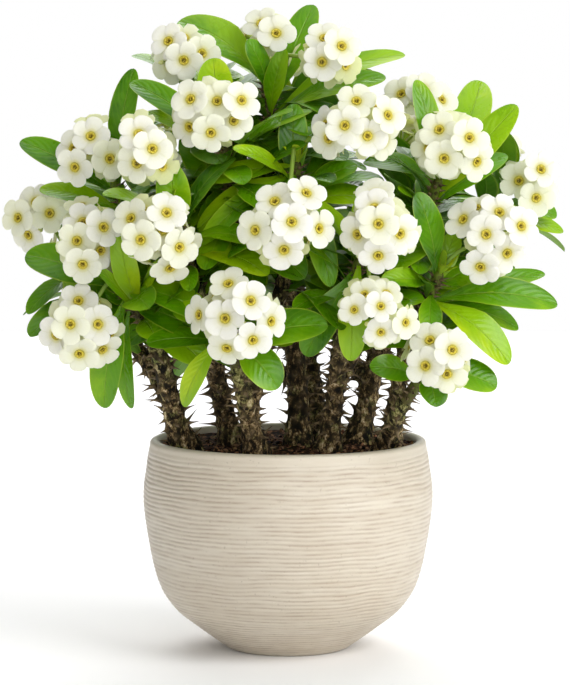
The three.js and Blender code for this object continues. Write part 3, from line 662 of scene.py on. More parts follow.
def pot():
    """The bowl, with its fine turned ridges outside and a smooth wall inside."""
    fine = smooth_line(POT["outline"], ROWS["outline"])
    lengths = lengths_along(fine)
    outline = lengths, [p[0] for p in fine], [p[1] for p in fine]
    count = int(lengths[-1] / RIDGES["pitch"]) * RIDGES["steps"]
    lip = smooth_line([POT["outline"][-1], *POT["lip"], (97, 155)], ROWS["lip"])
    rows = [plain_ring(POT["outline"][0][0] + inward, height, 0) for inward, height in FOOT]
    rows += [ribbed_ring(outline, lengths[-1] * k / count) for k in range(RIDGES["first"], count + 1)]
    rows += [plain_ring(*place, 0) for place in lip[1:]]
    rows += [plain_ring(*place, 1) for place in smooth_line(POT["inside"], ROWS["inside"])]
    skin = Skin()
    skin.loft([ring for ring, _ in rows], [coats for _, coats in rows])
    skin.piece("pot_bowl", ["pot"], [STONEWARE], 75)


def plain_ring(radius, height, stained):
    count = RIDGES["sides"]
    return ring_points(radius, height, count), [(0, stained, 0)] * count


def wall_noise(way, s, pattern):
    around, up, _ = pattern
    return noise.noise(way * around + Vector((0, 0, s * up)))


def ribbed_ring(outline, s):
    """A ring of the ribbed outside, s up along its outline: its points and their coats."""
    lengths, radii, heights = outline
    ribbed = smooth(s / RIDGES["from_foot"]) * smooth((lengths[-1] - s) / RIDGES["to_lip"])
    groove = (1 - abs(sin(pi * s / RIDGES["pitch"])) ** RIDGES["sharp"]) * ribbed
    ring, coats = [], []
    for i in range(RIDGES["sides"]):
        angle = 2 * pi * i / RIDGES["sides"]
        way = Vector((cos(angle), sin(angle), 0))
        worn = RIDGES["cut"] + WORN[2] * wall_noise(way, s, WORN)
        cut = groove * min(max(worn, RIDGES["least"]), RIDGES["most"])
        waved = s + WAVED[2] * ribbed * wall_noise(way, s, WAVED)
        radius = float(np.interp(waved, lengths, radii)) - cut * RIDGES["depth"]
        radius -= (0.5 + 0.5 * wall_noise(way, s, UNEVEN)) * UNEVEN[2] * ribbed
        ring.append(way * radius + Vector((0, 0, float(np.interp(waved, lengths, heights)))))
        coats.append((cut, 0, 0))
    return ring, coats


BED = {"around": 120, "rings": 36, "crowding": 0.9, "skirt": 12,
       "bank": 3.5, "bank_foot": 72, "bank_run": 25}
CRUMBS = {"count": 520, "out": 0.98, "size": (0.8, 2.4), "longer": (1.2, 2.6), "half": 0.6, "raised": 0.3,
          "tilt": 0.3, "rarely_pale": 5}


def soil_height(x, y):
    """The bed's height: a low mound with rough ground, banked up at the wall."""
    r = hypot(x, y)
    rough = sum(size * noise.noise(Vector((x, y, 0)) * scale) for size, scale in SOIL["rough"])
    banked = BED["bank"] * smooth((r - BED["bank_foot"]) / BED["bank_run"])
    return SOIL["edge"] + SOIL["mound"] * (1 - r / SOIL["rim"]) + rough + banked


def soil(rng):
    """Crumbly soil: an uneven bed with loose crumbs and bits of bark on it."""
    skin = Skin()
    around = BED["around"]
    rings = [ring_points(SOIL["rim"] - 1, SOIL["edge"] - BED["skirt"], around)]
    for k in range(BED["rings"], 0, -1):
        flat = ring_points(SOIL["rim"] * (k / BED["rings"]) ** BED["crowding"], 0, around)
        rings.append([Vector((p.x, p.y, soil_height(p.x, p.y))) for p in flat])
    skin.loft(rings, [[(0, 0, 0)] * around for _ in rings])
    for _ in range(CRUMBS["count"]):
        r, turn = SOIL["rim"] * sqrt(rng.random()) * CRUMBS["out"], rng.uniform(0, 2 * pi)
        x, y = r * cos(turn), r * sin(turn)
        size, tilt = rng.uniform(*CRUMBS["size"]), CRUMBS["tilt"]
        axis = Vector((rng.uniform(-1, 1), rng.uniform(-1, 1), rng.uniform(-tilt, tilt))).normalized()
        pale = rng.random() ** CRUMBS["rarely_pale"]
        centre = Vector((x, y, soil_height(x, y) + CRUMBS["raised"] * size))
        skin.ball(centre, axis, size * rng.uniform(*CRUMBS["longer"]), size * CRUMBS["half"],
                  coat=(0, 0, pale), count=5, rows=3)
    skin.piece("soil_bed", ["soil"], [EARTH])


# ---- stems


def shoot_line(name):
    tip = Vector(SHOOTS[name]["tip"])
    aim = toward(Vector(SHOOT["fan"]), tip)
    return tip, aim, along(tip, aim, -SHOOT["length"])


def limb_curve(stem, shoot, fork, trunk):
    _, aim, foot = shoot_line(shoot)
    x, y = stem["root"]
    start = trunk.at(fork) if trunk else Vector((x, y, SOIL["edge"] + SOIL["mound"] - SOIL["depth"]))
    rise = (foot - start).length
    lean = trunk.tangent(fork) if trunk else Vector((x * LEAN, y * LEAN, 1))
    leaving = along(start, lean, rise * BARK["fork_pull" if trunk else "root_pull"])
    return Bezier(start, leaving, along(foot, aim, -rise * BARK["foot_pull"]), foot)


def stem_limbs(stem):
    """The stem's limbs as (curve, radius at the root, shoot)."""
    limbs = []
    for shoot, fork in stem["limbs"]:
        trunk = limbs[0][0] if limbs else None
        thick = stem["radius"] + (BARK["end"] - stem["radius"]) * fork - (BARK["fork_step"] if trunk else 0)
        limbs.append((limb_curve(stem, shoot, fork, trunk), thick, shoot))
    return limbs


# Spines: how many stand between two packed ones and in how many turns, one in how many is left above
# a height, how far bark rises at one's foot, and the added ones' length and slant.
SPINES = {"between": 13, "turns": 5, "sides": 5, "foot": 2.2, "stand": 1.8, "swell": 1.2, "thick": 2.4,
          "dense": 275, "thinned": 3, "over_soil": 3, "first": 0.6, "added": (6, 11), "slant": (-0.25, 0.5),
          "stout": (0.8, 1.1), "bend": 0.12, "sunk": 0.6, "clear": 3}
# How far along a spine, and its radius there as a share of its foot's.
SPINE_SHAPE = [(0, 1), (0.14, 0.7), (0.3, 0.44), (0.52, 0.26), (0.78, 0.13), (1, 0.02)]
LIMB = {"around": 20, "step": 1.9, "flare": 4.5, "flare_height": 34, "rough": [(0.9, 0.15), (0.7, 0.45)],
        "sunk": 1.2, "young": 0.55}


def spine(skin, root, direction, length, thick, slot, rng):
    """A spine on its broad foot, slender further out and a little bent."""
    bend = sides(direction)[0] * (rng.uniform(-SPINES["bend"], SPINES["bend"]) * length)
    path = [along(root, direction, length * t) + bend * t * t for t, _ in SPINE_SHAPE]
    radii = [thick * share for _, share in SPINE_SHAPE]
    skin.tube(path, radii, SPINES["sides"], slot, lambda share: (share, 0, 0))


def limb_spines(curve, thick, turn):
    """Where the spines stand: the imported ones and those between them, fewer inside the crown."""
    count, between, first = int(curve.length / BARK["pitch"]), SPINES["between"], SPINES["first"]
    step = (GOLDEN + 360 * SPINES["turns"]) / between
    for m in range(int(-first * between) + 1, int((count - first) * between)):
        t = curve.by_length((m / between + first) / count)
        centre, direction = curve.at(t), curve.tangent(t)
        buried = centre.z < SOIL["edge"] + SOIL["mound"] + SPINES["over_soil"]
        if buried or (m % SPINES["thinned"] and centre.z > SPINES["dense"]):
            continue
        u, v = sides(direction)
        angle = radians(turn * GOLDEN + m * step)
        yield m, centre, direction, swung(u, v, angle), thick + (BARK["end"] - thick) * t


def in_a_flower(point, margin):
    """True if the point is in or close to a flower."""
    return any(abs((point - rim).dot(facing)) < margin and (point - rim).length < radius + margin
               for _, (rim, facing, radius, *_) in flowers)


def limb(skin, curve, thick, turn, rng):
    """One limb: rough bark that rises round the foot of each spine, and the spines."""
    rows = int(curve.length / LIMB["step"])
    shares = [curve.by_length(k / rows) for k in range(rows + 1)]
    spines = list(limb_spines(curve, thick, turn))
    feet = np.array([centre + outward * radius for _, centre, _, outward, radius in spines])
    rings, coats = [], []
    for k, (u, v) in enumerate(carried([curve.tangent(t) for t in shares])):
        centre = curve.at(shares[k])
        flare = LIMB["flare"] * (1 - smooth((centre.z - SOIL["edge"]) / LIMB["flare_height"])) ** 2
        radius = thick + (BARK["end"] - thick) * shares[k] + flare
        young = smooth((k / rows - LIMB["young"]) / (1 - LIMB["young"]))
        ring, coat = [], []
        for i in range(LIMB["around"]):
            outward = swung(u, v, 2 * pi * i / LIMB["around"])
            place = centre + outward * radius
            near = ((feet - np.array(place)) ** 2).sum(1)
            swell = min(float(np.exp(-near / (2 * SPINES["foot"] ** 2)).sum()), SPINES["swell"])
            rough = sum(size * noise.noise(place * scale) for size, scale in LIMB["rough"])
            ring.append(along(place, outward, SPINES["stand"] * swell + rough - LIMB["sunk"]))
            coat.append((young, min(swell, 1), 0))
        rings.append(ring)
        coats.append(coat)
    skin.loft(rings, coats)
    for m, centre, direction, outward, radius in spines:
        slant, length = rng.uniform(*SPINES["slant"]), rng.uniform(*SPINES["added"])
        if m % SPINES["between"] == 0:
            slant = BARK["rise"]
            length = BARK["spine"] + BARK["varies"] * sin(m / SPINES["between"] * BARK["beat"])
        rise = (outward + direction * slant).normalized()
        root = along(centre, outward, radius - SPINES["sunk"])
        if not in_a_flower(along(root, rise, length), SPINES["clear"]):
            spine(skin, root, rise, length, SPINES["thick"] * rng.uniform(*SPINES["stout"]), 1, rng)


def stems(rng):
    for turn, (name, stem) in enumerate(STEMS.items()):
        skin = Skin()
        for curve, thick, _ in stem_limbs(stem):
            limb(skin, curve, thick, turn, rng)
        skin.piece(f"bark_{name}", [name], [BARK_SKIN, THORN])


# ---- leaves

# A blade: its rows, crowded at the tip, and points across, its thickness, which is less at the edge
# and where it is narrow, how narrow its root is as a share of the widest, where it is widest, how
# blunt its tip is, and how it folds and curls down at the edge.
BLADE = {"rows": 13, "crowding": 0.9, "across": 9, "thick": 0.7, "least": 0.15, "edge": 0.6,
         "narrow": 0.12, "widest": 0.56, "blunt": 2.5, "keel": 1.25, "curl": 0.05}
# How leaves differ: their fold and arch as a share of the usual one, the size and number of the
# waves in their edge, and how far they bow sideways and droop as a share of their length.
VARIES = {"fold": (0.7, 1.5), "arch": (0.8, 1.3), "ripple": (0.2, 0.9), "ripples": (6, 11),
          "bow": (-0.03, 0.03), "droop": (-0.02, 0.03)}


def leaf_half_width(t):
    """A leaf's half width at t, as a share of the widest: a wedge that ends in a round tip."""
    narrow, widest = BLADE["narrow"], BLADE["widest"]
    wedge = narrow + (1 - narrow) * smooth(t / widest)
    return wedge * sqrt(max(1 - max((t - widest) / (1 - widest), 0) ** BLADE["blunt"], 0))


def leaf_frame(base, tip, face):
    """A leaf's own directions, forward, sideways and up, and its length."""
    forward = toward(base, tip)
    side = forward.cross(face).normalized()
    return forward, side, side.cross(forward), (tip - base).length


def blade(skin, at, half_width, rows, across, thick, coat, slot=0):
    """A thin closed blade. at(t, s, half, lift) gives a point, s running from -1 to 1 across."""
    rings, coats = [], []
    for k in range(rows + 1):
        t = sin(k / rows * pi / 2) ** BLADE["crowding"]
        half = half_width(t)
        above = [2 * i / (across - 1) - 1 for i in range(across)]
        below = above[-2:0:-1]
        deep = thick * min(1, BLADE["least"] + half)
        rings.append([at(t, s, half, 0.0) for s in above]
                     + [at(t, s, half, -deep * (1 - BLADE["edge"] * s * s)) for s in below])
        coats.append([coat(t, s, False) for s in above] + [coat(t, s, True) for s in below])
    skin.loft(rings, coats, slot, flat=True)


def grow_leaf(skin, base, tip, width, face, young, rng, rows=BLADE["rows"], across=BLADE["across"]):
    """A leaf from its root to its tip, folded along the midrib, arched and a little waved."""
    forward, side, up, length = leaf_frame(base, tip, face)
    fold, arch = LEAF["fold"] * rng.uniform(*VARIES["fold"]), LEAF["arch"] * rng.uniform(*VARIES["arch"])
    ripple, phase = rng.uniform(*VARIES["ripple"]), rng.uniform(0, 6)
    ripples = rng.uniform(*VARIES["ripples"])
    bow, droop = rng.uniform(*VARIES["bow"]) * length, rng.uniform(*VARIES["droop"]) * length

    def at(t, s, half_share, lift):
        half = half_share * width / 2
        lift += arch * length * 4 * t * (1 - t) + fold * half * abs(s) ** BLADE["keel"] - droop * t ** 3
        lift += ripple * s ** 4 * sin(ripples * t + phase + s) * half_share - BLADE["curl"] * half * s ** 4
        return base + forward * (length * t) + up * lift + side * (s * half + bow * sin(pi * t))

    blade(skin, at, leaf_half_width, rows, across, BLADE["thick"],
          lambda t, s, below: (t, s + (4 if below else 0), young))


def leaf_corners(base, tip, width, face):
    """The corners of a packed leaf's blade, without its root, to look for in the mesh."""
    forward, side, up, length = leaf_frame(base, tip, face)
    found = [tip]
    for t, share in zip(LEAF["rows"][1:], LEAF["half"][1:]):
        half = share * width / 2
        lift = LEAF["arch"] * length * 4 * t * (1 - t) + LEAF["fold"] * half
        for s in (-1, 1):
            found.append(base + forward * (length * t) + up * lift + side * (s * half))
    return found


SAMPLES = (0.15, 0.3, 0.45, 0.6, 0.75, 0.9, 1), (-0.8, 0, 0.8)


def leaf_samples(base, tip, width, face):
    """Points all over a leaf, to keep other things clear of it."""
    forward, side, up, length = leaf_frame(base, tip, face)
    for t in SAMPLES[0]:
        middle = base + forward * (length * t) + up * (LEAF["arch"] * length * 4 * t * (1 - t))
        for s in SAMPLES[1]:
            yield along(middle, side, s * leaf_half_width(t) * width / 2)


def leaf_root(shoot, share, outward):
    _, aim, foot = shoot_line(shoot)
    return along(along(foot, aim, SHOOT["length"] * share), square_to(outward, aim), LEAF["root"])


# The places that the rules try for a leaf, as the solids do: first the one that is wanted.
LISTED = {"shares": (1, 0.92, 0.84), "shifts": (0, -7, 7, -14, 14, -22, 22, 30), "steps": (0, 2, 1, 3, 4)}
SPIRAL = {"shares": (1, 0.85, 0.7, 0.55), "lifts": (0, -18, 18, -34), "swings": (0, 22, -22, 44, -44)}


def listed_poses(shoot, leaf_row, k):
    x, y, z, width = leaf_row
    _, aim, foot = shoot_line(shoot)
    face = aim + Vector(LEAF["faces"])
    for share, shift, step in product(*LISTED.values()):
        end = Vector((x, y + shift, z))
        share_up = SHOOT["top"] - SHOOT["apart"] * ((k + step) % SHOOT["places"])
        base = leaf_root(shoot, share_up, end - foot)
        yield base, base.lerp(end, share), width, face


def spiral_poses(shoot, turn, k, count):
    _, aim, _ = shoot_line(shoot)
    u, v = sides(aim)
    rank = k / (count - 1) if count > 1 else 0.5
    length = LEAF["length"] + LEAF["varies"] * sin(k * LEAF["beat"] + turn)
    for share, lift, swing in product(*SPIRAL.values()):
        lean = radians(LEAF["lean"] - LEAF["straighter"] * rank + lift)
        outward = swung(u, v, radians(GOLDEN * k + SHOOT["turn"] * turn + swing))
        base = leaf_root(shoot, SHOOT["low"] + SHOOT["span"] * rank, outward)
        end = along(base, swung(aim, outward, lean), length * share)
        yield base, end, LEAF["width"] * share ** 0.5, aim


def packed_leaves(shoot, turn):
    """The leaves that the shoot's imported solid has, as (base, tip, width, face)."""
    is_corner = corner_test(f"leaves_{shoot}")
    row = SHOOTS[shoot]
    rules = [listed_poses(shoot, listed, k) for k, listed in enumerate(row.get("leaves", []))]
    rules += [spiral_poses(shoot, turn, k, row["more"]) for k in range(row["more"])]
    for poses in rules:
        for pose in poses:
            if all(is_corner(corner) for corner in leaf_corners(*pose)):
                yield pose
                break


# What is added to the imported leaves: young ones at each tip, ones that fill the crown's inside, and
# [x, y, z, width] of those that close gaps. All stay in an egg, above a height that is less out at
# the sides, and clear of the flowers. Lean is in degrees from the wood, width a share of the length.
TUFT = {"count": 5, "turn": 31, "lean": (14, 38), "length": (14, 26), "width": 0.36, "out": 1.6, "sunk": 3}
INNER = {"count": 26, "turn": 77, "start": 40, "top": 26, "reach": 100, "lean": (50, 110),
         "length": (58, 80), "shorter": (48, 34), "swings": (0, 35, -35), "width": 0.42, "out": 0.8}
BEHIND = {
    "s14": [[150, -10, 372, 22]], "s15": [[-30, 20, 425, 24], [24, 30, 430, 26]],
    "s16": [[-130, 40, 366, 24], [-60, 40, 380, 26]], "s17": [[64, 30, 374, 26], [150, 40, 366, 24]],
}
CROWN = {"centre": (0, 5, 300), "radii": (176, 150, 160), "low": 237, "side": 95, "low_side": 222,
         "clear": 4, "looked": (0.3, 0.5, 0.65, 0.8, 0.92, 1)}
# How finely these leaves are made, and how young leaves are, from 0 to 1; the leaves that fill the crown's
# inside or close gaps get lower, darker tones, as painted shade.
SMALL = {"rows": 8, "across": 7}
TONES = {"packed": (0.16, 0.7), "shade_darkened": (0.1, 0.45), "young": (0.75, 1)}
# A shoot's rod: how far it goes into the wood, its leaf scars, how it narrows at its end, and its spines.
ROD = {"rings": 16, "sides": 12, "sunk": 1.5, "slim": 0.92, "swell": 0.5, "swells": 22, "end": 0.45,
       "narrows": 0.9, "spines": 44, "low": 0.02, "span": 0.9, "turn": 20, "length": (5, 10), "thick": 1.8,
       "root": 0.7, "rise": 0.35, "clear": 2}


def shoots(rng):
    for turn, shoot in enumerate(SHOOTS):
        skin = Skin()
        grow_shoot(skin, shoot, rng)
        for pose in found_leaves[shoot]:
            grow_leaf(skin, *pose, rng.uniform(*TONES["packed"]), rng)
        tuft(skin, shoot, turn, rng)
        inner_leaves(skin, shoot, turn, rng)
        # The leaves that close gaps take the darker tones of painted shade too.
        for k, listed in enumerate(BEHIND.get(shoot, [])):
            leaf_that_fits(skin, listed_poses(shoot, listed, k), "shade_darkened", rng)
        skin.piece(f"foliage_{shoot}", [f"leaves_{shoot}"], [LEAF_SKIN, SHOOT_SKIN, THORN], 60)


def leaf_that_fits(skin, poses, tones, rng, **detail):
    """A leaf in the first of a few places where it keeps clear of the flowers and inside the crown."""
    for base, end, width, face in poses:
        if fits(base, end):
            grow_leaf(skin, base, end, width, face, rng.uniform(*TONES[tones]), rng, **detail)
            break


def grow_shoot(skin, shoot, rng):
    """The shoot's green rod, with leaf scars and short spines."""
    _, aim, foot = shoot_line(shoot)
    u, v = sides(aim)
    path, radii = [], []
    for k in range(ROD["rings"] + 1):
        share = k / ROD["rings"]
        path.append(along(foot, aim, (SHOOT["length"] + ROD["sunk"]) * share - ROD["sunk"]))
        swell = ROD["swell"] * abs(sin(share * ROD["swells"]))
        end = 1 - ROD["end"] * smooth((share - ROD["narrows"]) / (1 - ROD["narrows"]))
        radius = (SHOOT["radius"] + (SHOOT["tip"] - SHOOT["radius"]) * share) * ROD["slim"]
        radii.append((radius + swell) * end)
    skin.tube(path, radii, ROD["sides"], 1)
    for k in range(ROD["spines"]):
        share = ROD["low"] + ROD["span"] * k / ROD["spines"]
        outward = swung(u, v, radians(GOLDEN * k + ROD["turn"]))
        root = along(along(foot, aim, SHOOT["length"] * share), outward, SHOOT["radius"] * ROD["root"])
        length = rng.uniform(*ROD["length"])
        rise = (outward + aim * ROD["rise"]).normalized()
        if not in_a_flower(along(root, rise, length), ROD["clear"]):
            spine(skin, root, rise, length, ROD["thick"], 2, rng)


def tuft(skin, shoot, turn, rng):
    """Young leaves round the shoot's tip."""
    tip, aim, _ = shoot_line(shoot)
    u, v = sides(aim)
    for k in range(TUFT["count"]):
        outward = swung(u, v, radians(GOLDEN * k + TUFT["turn"] * turn))
        lean = radians(rng.uniform(*TUFT["lean"]))
        base = along(along(tip, aim, -TUFT["sunk"]), outward, TUFT["out"])
        length = rng.uniform(*TUFT["length"])
        end = along(base, swung(aim, outward, lean), length)
        leaf_that_fits(skin, [(base, end, length * TUFT["width"], aim)], "young", rng, **SMALL)


def inner_leaves(skin, shoot, turn, rng):
    """Leaves in the shade that fill the crown's inside, on the shoot and on the wood below it, with darker
    tones as painted shade.
    """
    _, aim, foot = shoot_line(shoot)
    wood = wood_below(shoot)
    for k in range(INNER["count"]):
        height = INNER["top"] - INNER["reach"] * k / INNER["count"]
        root = along(foot, aim, height)
        if height < 0:
            t = wood.by_length(max(1 + height / wood.length, 0))
            root, aim = wood.at(t), wood.tangent(t)
        lean, longest = radians(rng.uniform(*INNER["lean"])), rng.uniform(*INNER["length"])
        around = GOLDEN * k + INNER["turn"] * turn + INNER["start"]
        leaf_that_fits(skin, inner_poses(root, aim, around, lean, longest), "shade_darkened", rng, **SMALL)


def wood_below(shoot):
    """The limb that the shoot grows from."""
    return next(curve for stem in STEMS.values() for curve, _, name in stem_limbs(stem) if name == shoot)


def inner_poses(root, aim, turn, lean, longest):
    """Where an inner leaf can be, the best place first."""
    u, v = sides(aim)
    for length, swing in product((longest, *INNER["shorter"]), INNER["swings"]):
        outward = swung(u, v, radians(turn + swing))
        base = along(root, outward, SHOOT["radius"] * INNER["out"])
        end = along(base, swung(aim, outward, lean), length)
        yield base, end, (end - base).length * INNER["width"], aim


def fits(base, end):
    """True if a leaf would keep clear of the flowers and stay inside the crown."""
    off = [(end[i] - CROWN["centre"][i]) / CROWN["radii"][i] for i in range(3)]
    low = CROWN["low"] if abs(end.x) < CROWN["side"] else CROWN["low_side"]
    inside = sum(share * share for share in off) < 1 and min(base.z, end.z) > low
    return inside and not any(in_a_flower(base.lerp(end, t), CROWN["clear"]) for t in CROWN["looked"])


# ---- flower heads

# A flower: the middle of its petals' tips, its turn in degrees, and its direction from the heart.
# A petal spans LOBE degrees to each side, and its face rises, bends and droops from middle to tip.
Flower = namedtuple("Flower", "rim facing radius spin direction")
LOBE = 36
FACE = {"rise": 1.3, "bend": 1.2, "droop": 0.5, "late": 7}


def stalk_curve(name):
    head = HEADS[name]
    tip, aim, _ = shoot_line(head["on"])
    heart = Vector(head["heart"])
    start = along(tip, aim, GAP + STALK["lift"])
    mates = [other for other in HEADS.values() if other["on"] == head["on"] and other is not head]
    if mates:
        start = along(start, square_to(heart - Vector(mates[0]["heart"]), aim), STALK["spread"])
    reach = (heart - start).length
    coming = along(heart, toward(start, heart), -reach / 3)
    return Bezier(start, along(start, aim, reach * STALK["rise"]), coming, heart)


def listed_directions(head):
    """The ways to the flowers that are listed by their place in the picture."""
    sight = radians(HEAD["sight"])
    up, near = Vector((0, sin(sight), cos(sight))), Vector((0, -cos(sight), sin(sight)))
    found = []
    for right, high in head.get("flowers", []):
        depth = sqrt(max(HEAD["radius"] ** 2 - right ** 2 - high ** 2, HEAD["shallow"]))
        found.append((Vector((right, 0, 0)) + up * high + near * depth).normalized())
    return found


def cap_directions(axis, cap, count):
    """Ways that are spread evenly over a cap round an axis, in a spiral from its middle."""
    u, v = sides(axis)
    for k in range(count):
        height = 1 - (1 - cos(radians(cap))) * (k / (count - 1))
        flat, angle = sqrt(1 - height * height), radians(GOLDEN * k)
        yield axis * height + u * (flat * cos(angle)) + v * (flat * sin(angle))


def head_axis(head):
    """The way that the cap of flowers looks which the rule adds."""
    return Vector(head.get("faces", HEAD["back"])).normalized()


def head_front(head):
    """The way that the head as a whole looks."""
    listed = listed_directions(head)
    return sum(listed, Vector()).normalized() if listed else head_axis(head)


def flower_point(middle, facing, radius, degrees, height):
    u, v = sides(facing)
    angle = radians(degrees)
    return middle + facing * height + u * (radius * cos(angle)) + v * (radius * sin(angle))


def packed_flowers(name):
    """The flowers that the head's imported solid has."""
    head, is_corner = HEADS[name], corner_test(f"flowers_{name}")
    heart, front = Vector(head["heart"]), head_front(head)
    radius, reach = head.get("radius", FLOWER["radius"]), head.get("reach", HEAD["radius"])
    added = cap_directions(head_axis(head), HEAD["cap"], HEAD["spiral"])
    for k, direction in [*enumerate(listed_directions(head)), *enumerate(added)]:
        facing = direction.lerp(front, FLOWER["turn"]).normalized()
        for level in HEAD["levels"]:
            rim = along(heart, direction, reach + level)
            if not is_corner(along(rim, facing, -FLOWER["dish"])):
                continue
            lobes = [flower_point(rim, facing, radius, k * GOLDEN + 72 * lobe + side * FLOWER["lobe"], 0)
                     for lobe in range(5) for side in (-1, 1)]
            if sum(map(is_corner, lobes)) >= 4:
                yield Flower(rim, facing, radius, k * GOLDEN, direction)
                break


# Fill-ins: how many places are tried over a cap of how many degrees, how much lower and smaller they
# are, the degrees from one flower to the next, how far they may stand out sideways as a share of
# their radius, the least distance between petals and from a leaf, how near a flower of another head
# is looked at, and on which circles of petals, as (share of the radius, points).
FILL = {"tries": 140, "cap": 128, "lower": (3.5, 6, 9, 12), "uneven": 1.5, "smaller": 0.93,
        "spacing": 22, "overhang": 1.4, "apart": 1.0, "from_leaf": 3.5, "reach": 65,
        "circles": ((1, 16), (0.6, 8)), "edge": 1.05}


def fill_ins(name, rng):
    """Flowers lower in a head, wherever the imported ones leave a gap."""
    head, packed = HEADS[name], found_flowers[name]
    heart, front = Vector(head["heart"]), head_front(head)
    radius = head.get("radius", FLOWER["radius"]) * FILL["smaller"]
    reach = head.get("reach", HEAD["radius"])
    taken = [flower.direction for flower in packed]
    near = [flower for other, flower in flowers
            if other != name and (flower.rim - heart).length < FILL["reach"]]
    for direction in cap_directions(front, FILL["cap"], FILL["tries"]):
        if min(direction.angle(other) for other in taken) < radians(FILL["spacing"]):
            continue
        facing = direction.lerp(front, FLOWER["turn"]).normalized()
        for lower in FILL["lower"]:
            rim = along(heart, direction, reach - lower - rng.uniform(0, FILL["uneven"]))
            flower = Flower(rim, facing, radius, 0, direction)
            if not (stands_out(flower, packed) or in_a_leaf(flower)) and is_clear(flower, packed, near):
                flower = flower._replace(spin=rng.uniform(0, 72))
                taken.append(direction)
                near.append(flower)
                flowers.append((name, flower))
                yield flower
                break


def stands_out(flower, packed):
    """True if, seen from the front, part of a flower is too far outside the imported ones."""
    edge = [flower_point(flower.rim, flower.facing, flower.radius, 45 * k, 0) for k in range(8)]
    farthest = max(min((point.xz - other.rim.xz).length for other in packed) for point in edge)
    return farthest > flower.radius * FILL["overhang"]


def is_clear(flower, packed, near):
    """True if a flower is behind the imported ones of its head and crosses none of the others."""
    behind = all(side_of(flower, other) < 0 for other in packed)
    return behind and all(side_of(flower, other) for other in near)


def side_of(flower, other):
    """Which side of another flower a flower is on: 1 in front of it, -1 behind it, -0.5 beside it
    and 0 if the two cross or nearly touch."""
    if (flower.rim - other.rim).length > flower.radius + other.radius + FILL["apart"]:
        return -0.5
    heights = heights_over(flower, other) + [-height for height in heights_over(other, flower)]
    if not heights:
        return -0.5
    if max(heights) < -FILL["apart"]:
        return -1
    return 1 if min(heights) > FILL["apart"] else 0


def heights_over(flower, other):
    """How high one flower's petals stand over another one's, where one is over the other."""
    heights = []
    for share, count in FILL["circles"]:
        reach, height = flower.radius * share, petal_height(share)
        for k in range(count):
            point = flower_point(flower.rim, flower.facing, reach, 360 * k / count, height)
            offset = point - other.rim
            over = offset.dot(other.facing)
            out = (offset - other.facing * over).length / other.radius
            if out < FILL["edge"]:
                heights.append(over - petal_height(out))
    return heights


def in_a_leaf(flower):
    return any(abs((point - flower.rim).dot(flower.facing)) < FILL["from_leaf"]
               for point, _, _ in leaf_tree.find_range(flower.rim, flower.radius))


def petal_height(share):
    """How far a petal's face is above the rim's plane, at a share of the flower's radius."""
    risen = FACE["rise"] * share ** FACE["bend"]
    return FLOWER["dish"] * (risen - 1 - FACE["droop"] * share ** FACE["late"])


# A petal's half angle in degrees, its notch and hole as shares of the radius, and how far one side
# lies over the other. The pairs are how petals differ, as shares but for the ruffle and the turn.
PETAL = {"half": 42, "notch": 0.19, "round": 3.0, "hole": 0.19, "thick": 0.35, "thinner": 0.7,
         "step": 0.45, "valley": 0.75, "ruffle": (0.25, 0.75), "grown": (0.94, 1.04),
         "notched": (0.6, 1.45), "spread": (0.93, 1.12), "turn": (-5, 5)}
# How finely a flower is made and how yellow it is, for one that is packed and one that is added; the added
# ones lie deeper in a head and are yellower as painted shade.
FULL = {"rows": 6, "across": 9, "around": 12, "tone": (0, 0.5)}
PLAIN = {"rows": 5, "across": 5, "around": 8, "tone": (0.6, 1)}
# The dark cup in a flower's middle and the yellow ring on it, as (radius, height).
RING = {"radius": 3.7, "cup": [(0.9, -5.2), (1.7, -3.6), (2.6, -1.8), (3.3, -0.4)],
        "rim": [(3.3, -0.4), (3.7, 0.45), (3.5, 0.85), (2.8, 0.7), (1.9, 0.15), (0.8, 0.05)]}
# Glands and stamens: how many, how far out and up, their length and radius.
GLANDS = {"count": 5, "out": 2.45, "up": 0.75, "length": 2.3, "radius": 0.72}
STAMENS = {"count": 3, "out": 0.65, "up": 0.9, "length": 1.5, "radius": 0.48}
# The stalks in a head: its own, the branches that flowers share, and one below each flower.
HEAD_STALK = {"steps": 10, "root": 1.15, "thinner": 0.02, "sides": 8, "knot": (5, 2.1)}
BRANCH = {"length": 9, "radii": [1.2, 1.1, 1.0], "shared": 50}
PEDICEL = {"radii": [0.9, 0.85, 0.8, 0.8, 0.8, 0.9, 1.1], "below": 4.9}
BUDS = {"count": 3, "every": 5, "spacing": 15, "out": (17, 22), "length": (4.5, 6.5),
        "radius": (1.5, 2.1), "stalk": [0.8, 0.7, 0.7], "bent": 8}


def grow_petal(skin, flower, middle, tone, rng, detail):
    """A broad petal: one side lies over the next petal and the other under the one before."""
    size = flower.radius / FLOWER["radius"]
    ruffle, phase = rng.uniform(*PETAL["ruffle"]), rng.uniform(0, 6)
    grown = flower.radius * rng.uniform(*PETAL["grown"])
    notch = PETAL["notch"] * rng.uniform(*PETAL["notched"])
    half = PETAL["half"] * rng.uniform(*PETAL["spread"])

    def share_at(t):
        return PETAL["hole"] + (1 - PETAL["hole"]) * t

    def at(t, s, _, lift):
        share, off = share_at(t), abs(s) * half / LOBE
        reach = grown * share * (1 - notch * t * off ** PETAL["round"])
        height = petal_height(share) + lift * (1 - PETAL["thinner"] * t ** 4)
        height += share * (PETAL["step"] * s - PETAL["valley"] * s * s)
        height += ruffle * share * share * sin(3 * s + phase)
        return flower_point(flower.rim, flower.facing, reach, middle + s * half, height * size)

    blade(skin, at, lambda t: 1, detail["rows"], detail["across"], PETAL["thick"],
          lambda t, s, below: (share_at(t), s, tone))


